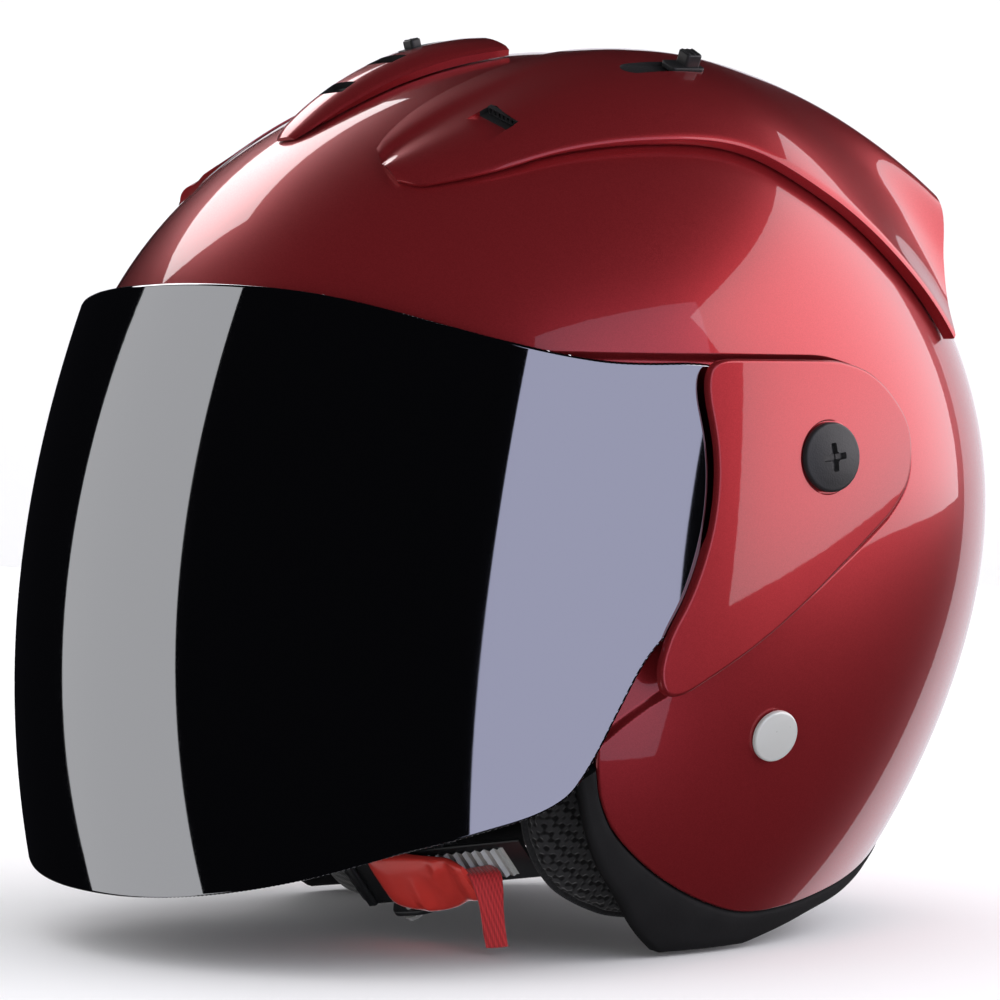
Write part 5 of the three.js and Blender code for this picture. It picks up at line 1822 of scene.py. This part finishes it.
def pull_ribbon():
    """A red woven tab looped through the lever's end: it folds over the tip, twists and hangs down."""
    tip = in_buckle(*LEVER_TIP) - SHIFT
    drops = spline([[-2.5, 3.0], [1.5, 1.5], [3.4, -3.5], [4.2, -8], [5.2, -14], [6.6, -19.5],
                    [7.6, -23.6]], 60)
    turns = through([[0, 0.0], [0.3, 0.25], [0.6, 0.75], [1, 0.9]])
    loops = []
    for k, (dx, dz) in enumerate(drops):
        t = k / (len(drops) - 1)
        z = max(tip[2] + dz, FLOOR + 2.6)
        centre = np.array([tip[0] + dx, tip[1] + 0.2 * dx, z])
        angle = 0.25 + turns(t)[0, 0]
        wide = np.array([math.sin(angle) * 0.9, math.cos(angle), 0.12])
        wide /= np.linalg.norm(wide)
        thick = np.cross(wide, [0.25, 0, 1.0])
        thick /= np.linalg.norm(thick)
        half = mix(5.0, 3.3, smooth(0, 0.5, t)) - 1.8 * smooth(0.85, 1, t)
        body = 0.6 + 0.22 * math.exp(-((t - 0.93) / 0.05) ** 2)
        loop = []
        for a in np.linspace(0, 2 * math.pi, 20, endpoint=False):
            across, through_it = squared(math.cos(a), 0.3), squared(math.sin(a), 0.6)
            loop.append(centre + wide * half * across + thick * body * through_it)
        loops.append(loop)
    return lofted("pull_tab", loops, 60, red_ribbon)


finished(pull_ribbon(), "release_lever", red_ribbon, ["pull_ribbon"])

# ---- camera and light ----------------------------------------------------------------------------------

TARGET = Vector((0, SHIFT[1] / 1000, 0.122))
CAMERA_TURN, CAMERA_RISE, CAMERA_AWAY = math.radians(56), math.radians(1), 1.1
VIEW_WIDTH = 0.29                      # metres across the picture at the target

back = Vector((math.sin(CAMERA_TURN) * math.cos(CAMERA_RISE), -math.cos(CAMERA_TURN) * math.cos(CAMERA_RISE),
               math.sin(CAMERA_RISE)))
camera_data = bpy.data.cameras.new("camera")
camera_data.sensor_width = 36
camera_data.lens = 36 * CAMERA_AWAY / VIEW_WIDTH
camera = placed("camera", camera_data)
camera.location = TARGET + back * CAMERA_AWAY
camera.rotation_euler = back.to_track_quat("Z", "Y").to_euler()
camera_data.clip_start = 0.01
bpy.context.scene.camera = camera


def toward(turn, rise):
    """The direction from the helmet at an angle from the face towards the wearer's left, and up."""
    a, e = math.radians(turn), math.radians(rise)
    return Vector((math.sin(a) * math.cos(e), -math.cos(a) * math.cos(e), math.sin(e)))


def panel(name, turns, rises, radiance, colour=(1, 1, 1), away=2.4, roll=0.0):
    """A soft rectangular studio light that fills a range of directions round the helmet."""
    out = toward(sum(turns) / 2, sum(rises) / 2)
    width = 2 * away * math.tan(math.radians(abs(turns[1] - turns[0]) / 2))
    width *= math.cos(math.radians(sum(rises) / 2))
    height = 2 * away * math.tan(math.radians(abs(rises[1] - rises[0]) / 2))
    light = bpy.data.lights.new(name, "AREA")
    light.shape = "RECTANGLE"
    light.size, light.size_y = width, height
    light.energy = radiance * math.pi * width * height
    light.color = colour
    holder = placed(name, light)
    holder.location = TARGET + out * away
    rolled = out.to_track_quat("Z", "Y").to_matrix() @ Matrix.Rotation(math.radians(roll), 3, "Z")
    holder.rotation_euler = rolled.to_euler()
    holder.visible_camera = False
    return holder


panel("front_strip", (-61, -20), (-50, 33), 0.76, (1, 1, 0.99), roll=15)
panel("brow_light", (-108, -75), (27, 42), 3.2, (1, 0.97, 0.98))
panel("side_strip", (68, 110), (-32, 38), 0.95, (0.76, 0.77, 1))
panel("window", (115, 185), (-7, 46), 2.3, (1, 0.95, 1), roll=9)
panel("back_wall", (-172, -112), (-42, 20), 1.0, (0.96, 0.93, 1))
panel("low_fill", (20, 70), (-5, 2), 8.0, away=1.3).visible_glossy = False

FLOOR_FRONT, FLOOR_BACK, WALL_BEND, WALL_TOP, FLOOR_SIDE = 6.0, 2.6, 1.6, 14.0, 14.0


def studio_floor():
    """A pale floor that bends up into a wall behind the helmet, as seen from the camera."""
    profile = [(FLOOR_FRONT, 0.0), (0.6, 0.0), (-FLOOR_BACK, 0.0)]
    for k in range(1, 13):
        a = math.pi / 2 * k / 12
        profile.append((-FLOOR_BACK - WALL_BEND * math.sin(a), WALL_BEND * (1 - math.cos(a))))
    profile.append((-FLOOR_BACK - WALL_BEND, WALL_TOP))
    level = Vector((back.x, back.y, 0)).normalized()
    side = Vector((-level.y, level.x, 0))
    points = []
    for d, z in profile:
        for s in (-FLOOR_SIDE, FLOOR_SIDE):
            points.append(tuple(level * d + side * s + Vector((0, 0, z))))
    faces = [(2 * k, 2 * k + 1, 2 * k + 3, 2 * k + 2) for k in range(len(profile) - 1)]
    mesh = bpy.data.meshes.new("studio_floor")
    mesh.from_pydata(points, [], faces)
    smooth_shaded(mesh)
    floor = placed("studio_floor", mesh)
    floor.visible_glossy = False
    mesh.materials.append(plain_material("studio_pale", (0.86, 0.86, 0.87), 0.9))
    return floor


studio_floor()

SURROUND = (1.12, 1.12, 1.13, 1)       # the light all round
REFLECTED = (0.004, 0.004, 0.005, 1)   # what shiny surfaces show between the reflections of the lights


def studio_world():
    world = bpy.data.worlds.new("studio")
    bpy.context.scene.world = world
    world.use_nodes = True
    nodes, links = world.node_tree.nodes, world.node_tree.links
    ray = nodes.new("ShaderNodeLightPath")
    shade = nodes.new("ShaderNodeMix")
    shade.data_type = "RGBA"
    shade.inputs[6].default_value = SURROUND
    shade.inputs[7].default_value = REFLECTED
    links.new(ray.outputs["Is Glossy Ray"], shade.inputs[0])
    links.new(shade.outputs[2], nodes["Background"].inputs["Color"])


studio_world()
bpy.context.scene.view_settings.view_transform = "Standard"

# ---- finish ---------------------------------------------------------------------------------------------

SLOT_MATERIALS = {
    "red_paint": red_paint, "mirrored_visor": mirrored_visor, "trim_rubber": trim_rubber,
    "shock_foam": shock_foam, "liner_cloth": liner_cloth, "webbing": webbing, "bright_steel": bright_steel,
    "plain_steel": plain_steel, "dark_steel": dark_steel, "red_plastic": red_plastic,
    "red_ribbon": red_ribbon, "black_plastic": black_plastic}

for part in frame["record"]["subparts"]:
    node = frame["nodes"].get(part["node"])
    if node is not None:
        for place in node.material_slots:
            place.material = SLOT_MATERIALS[part["material_slot"]]
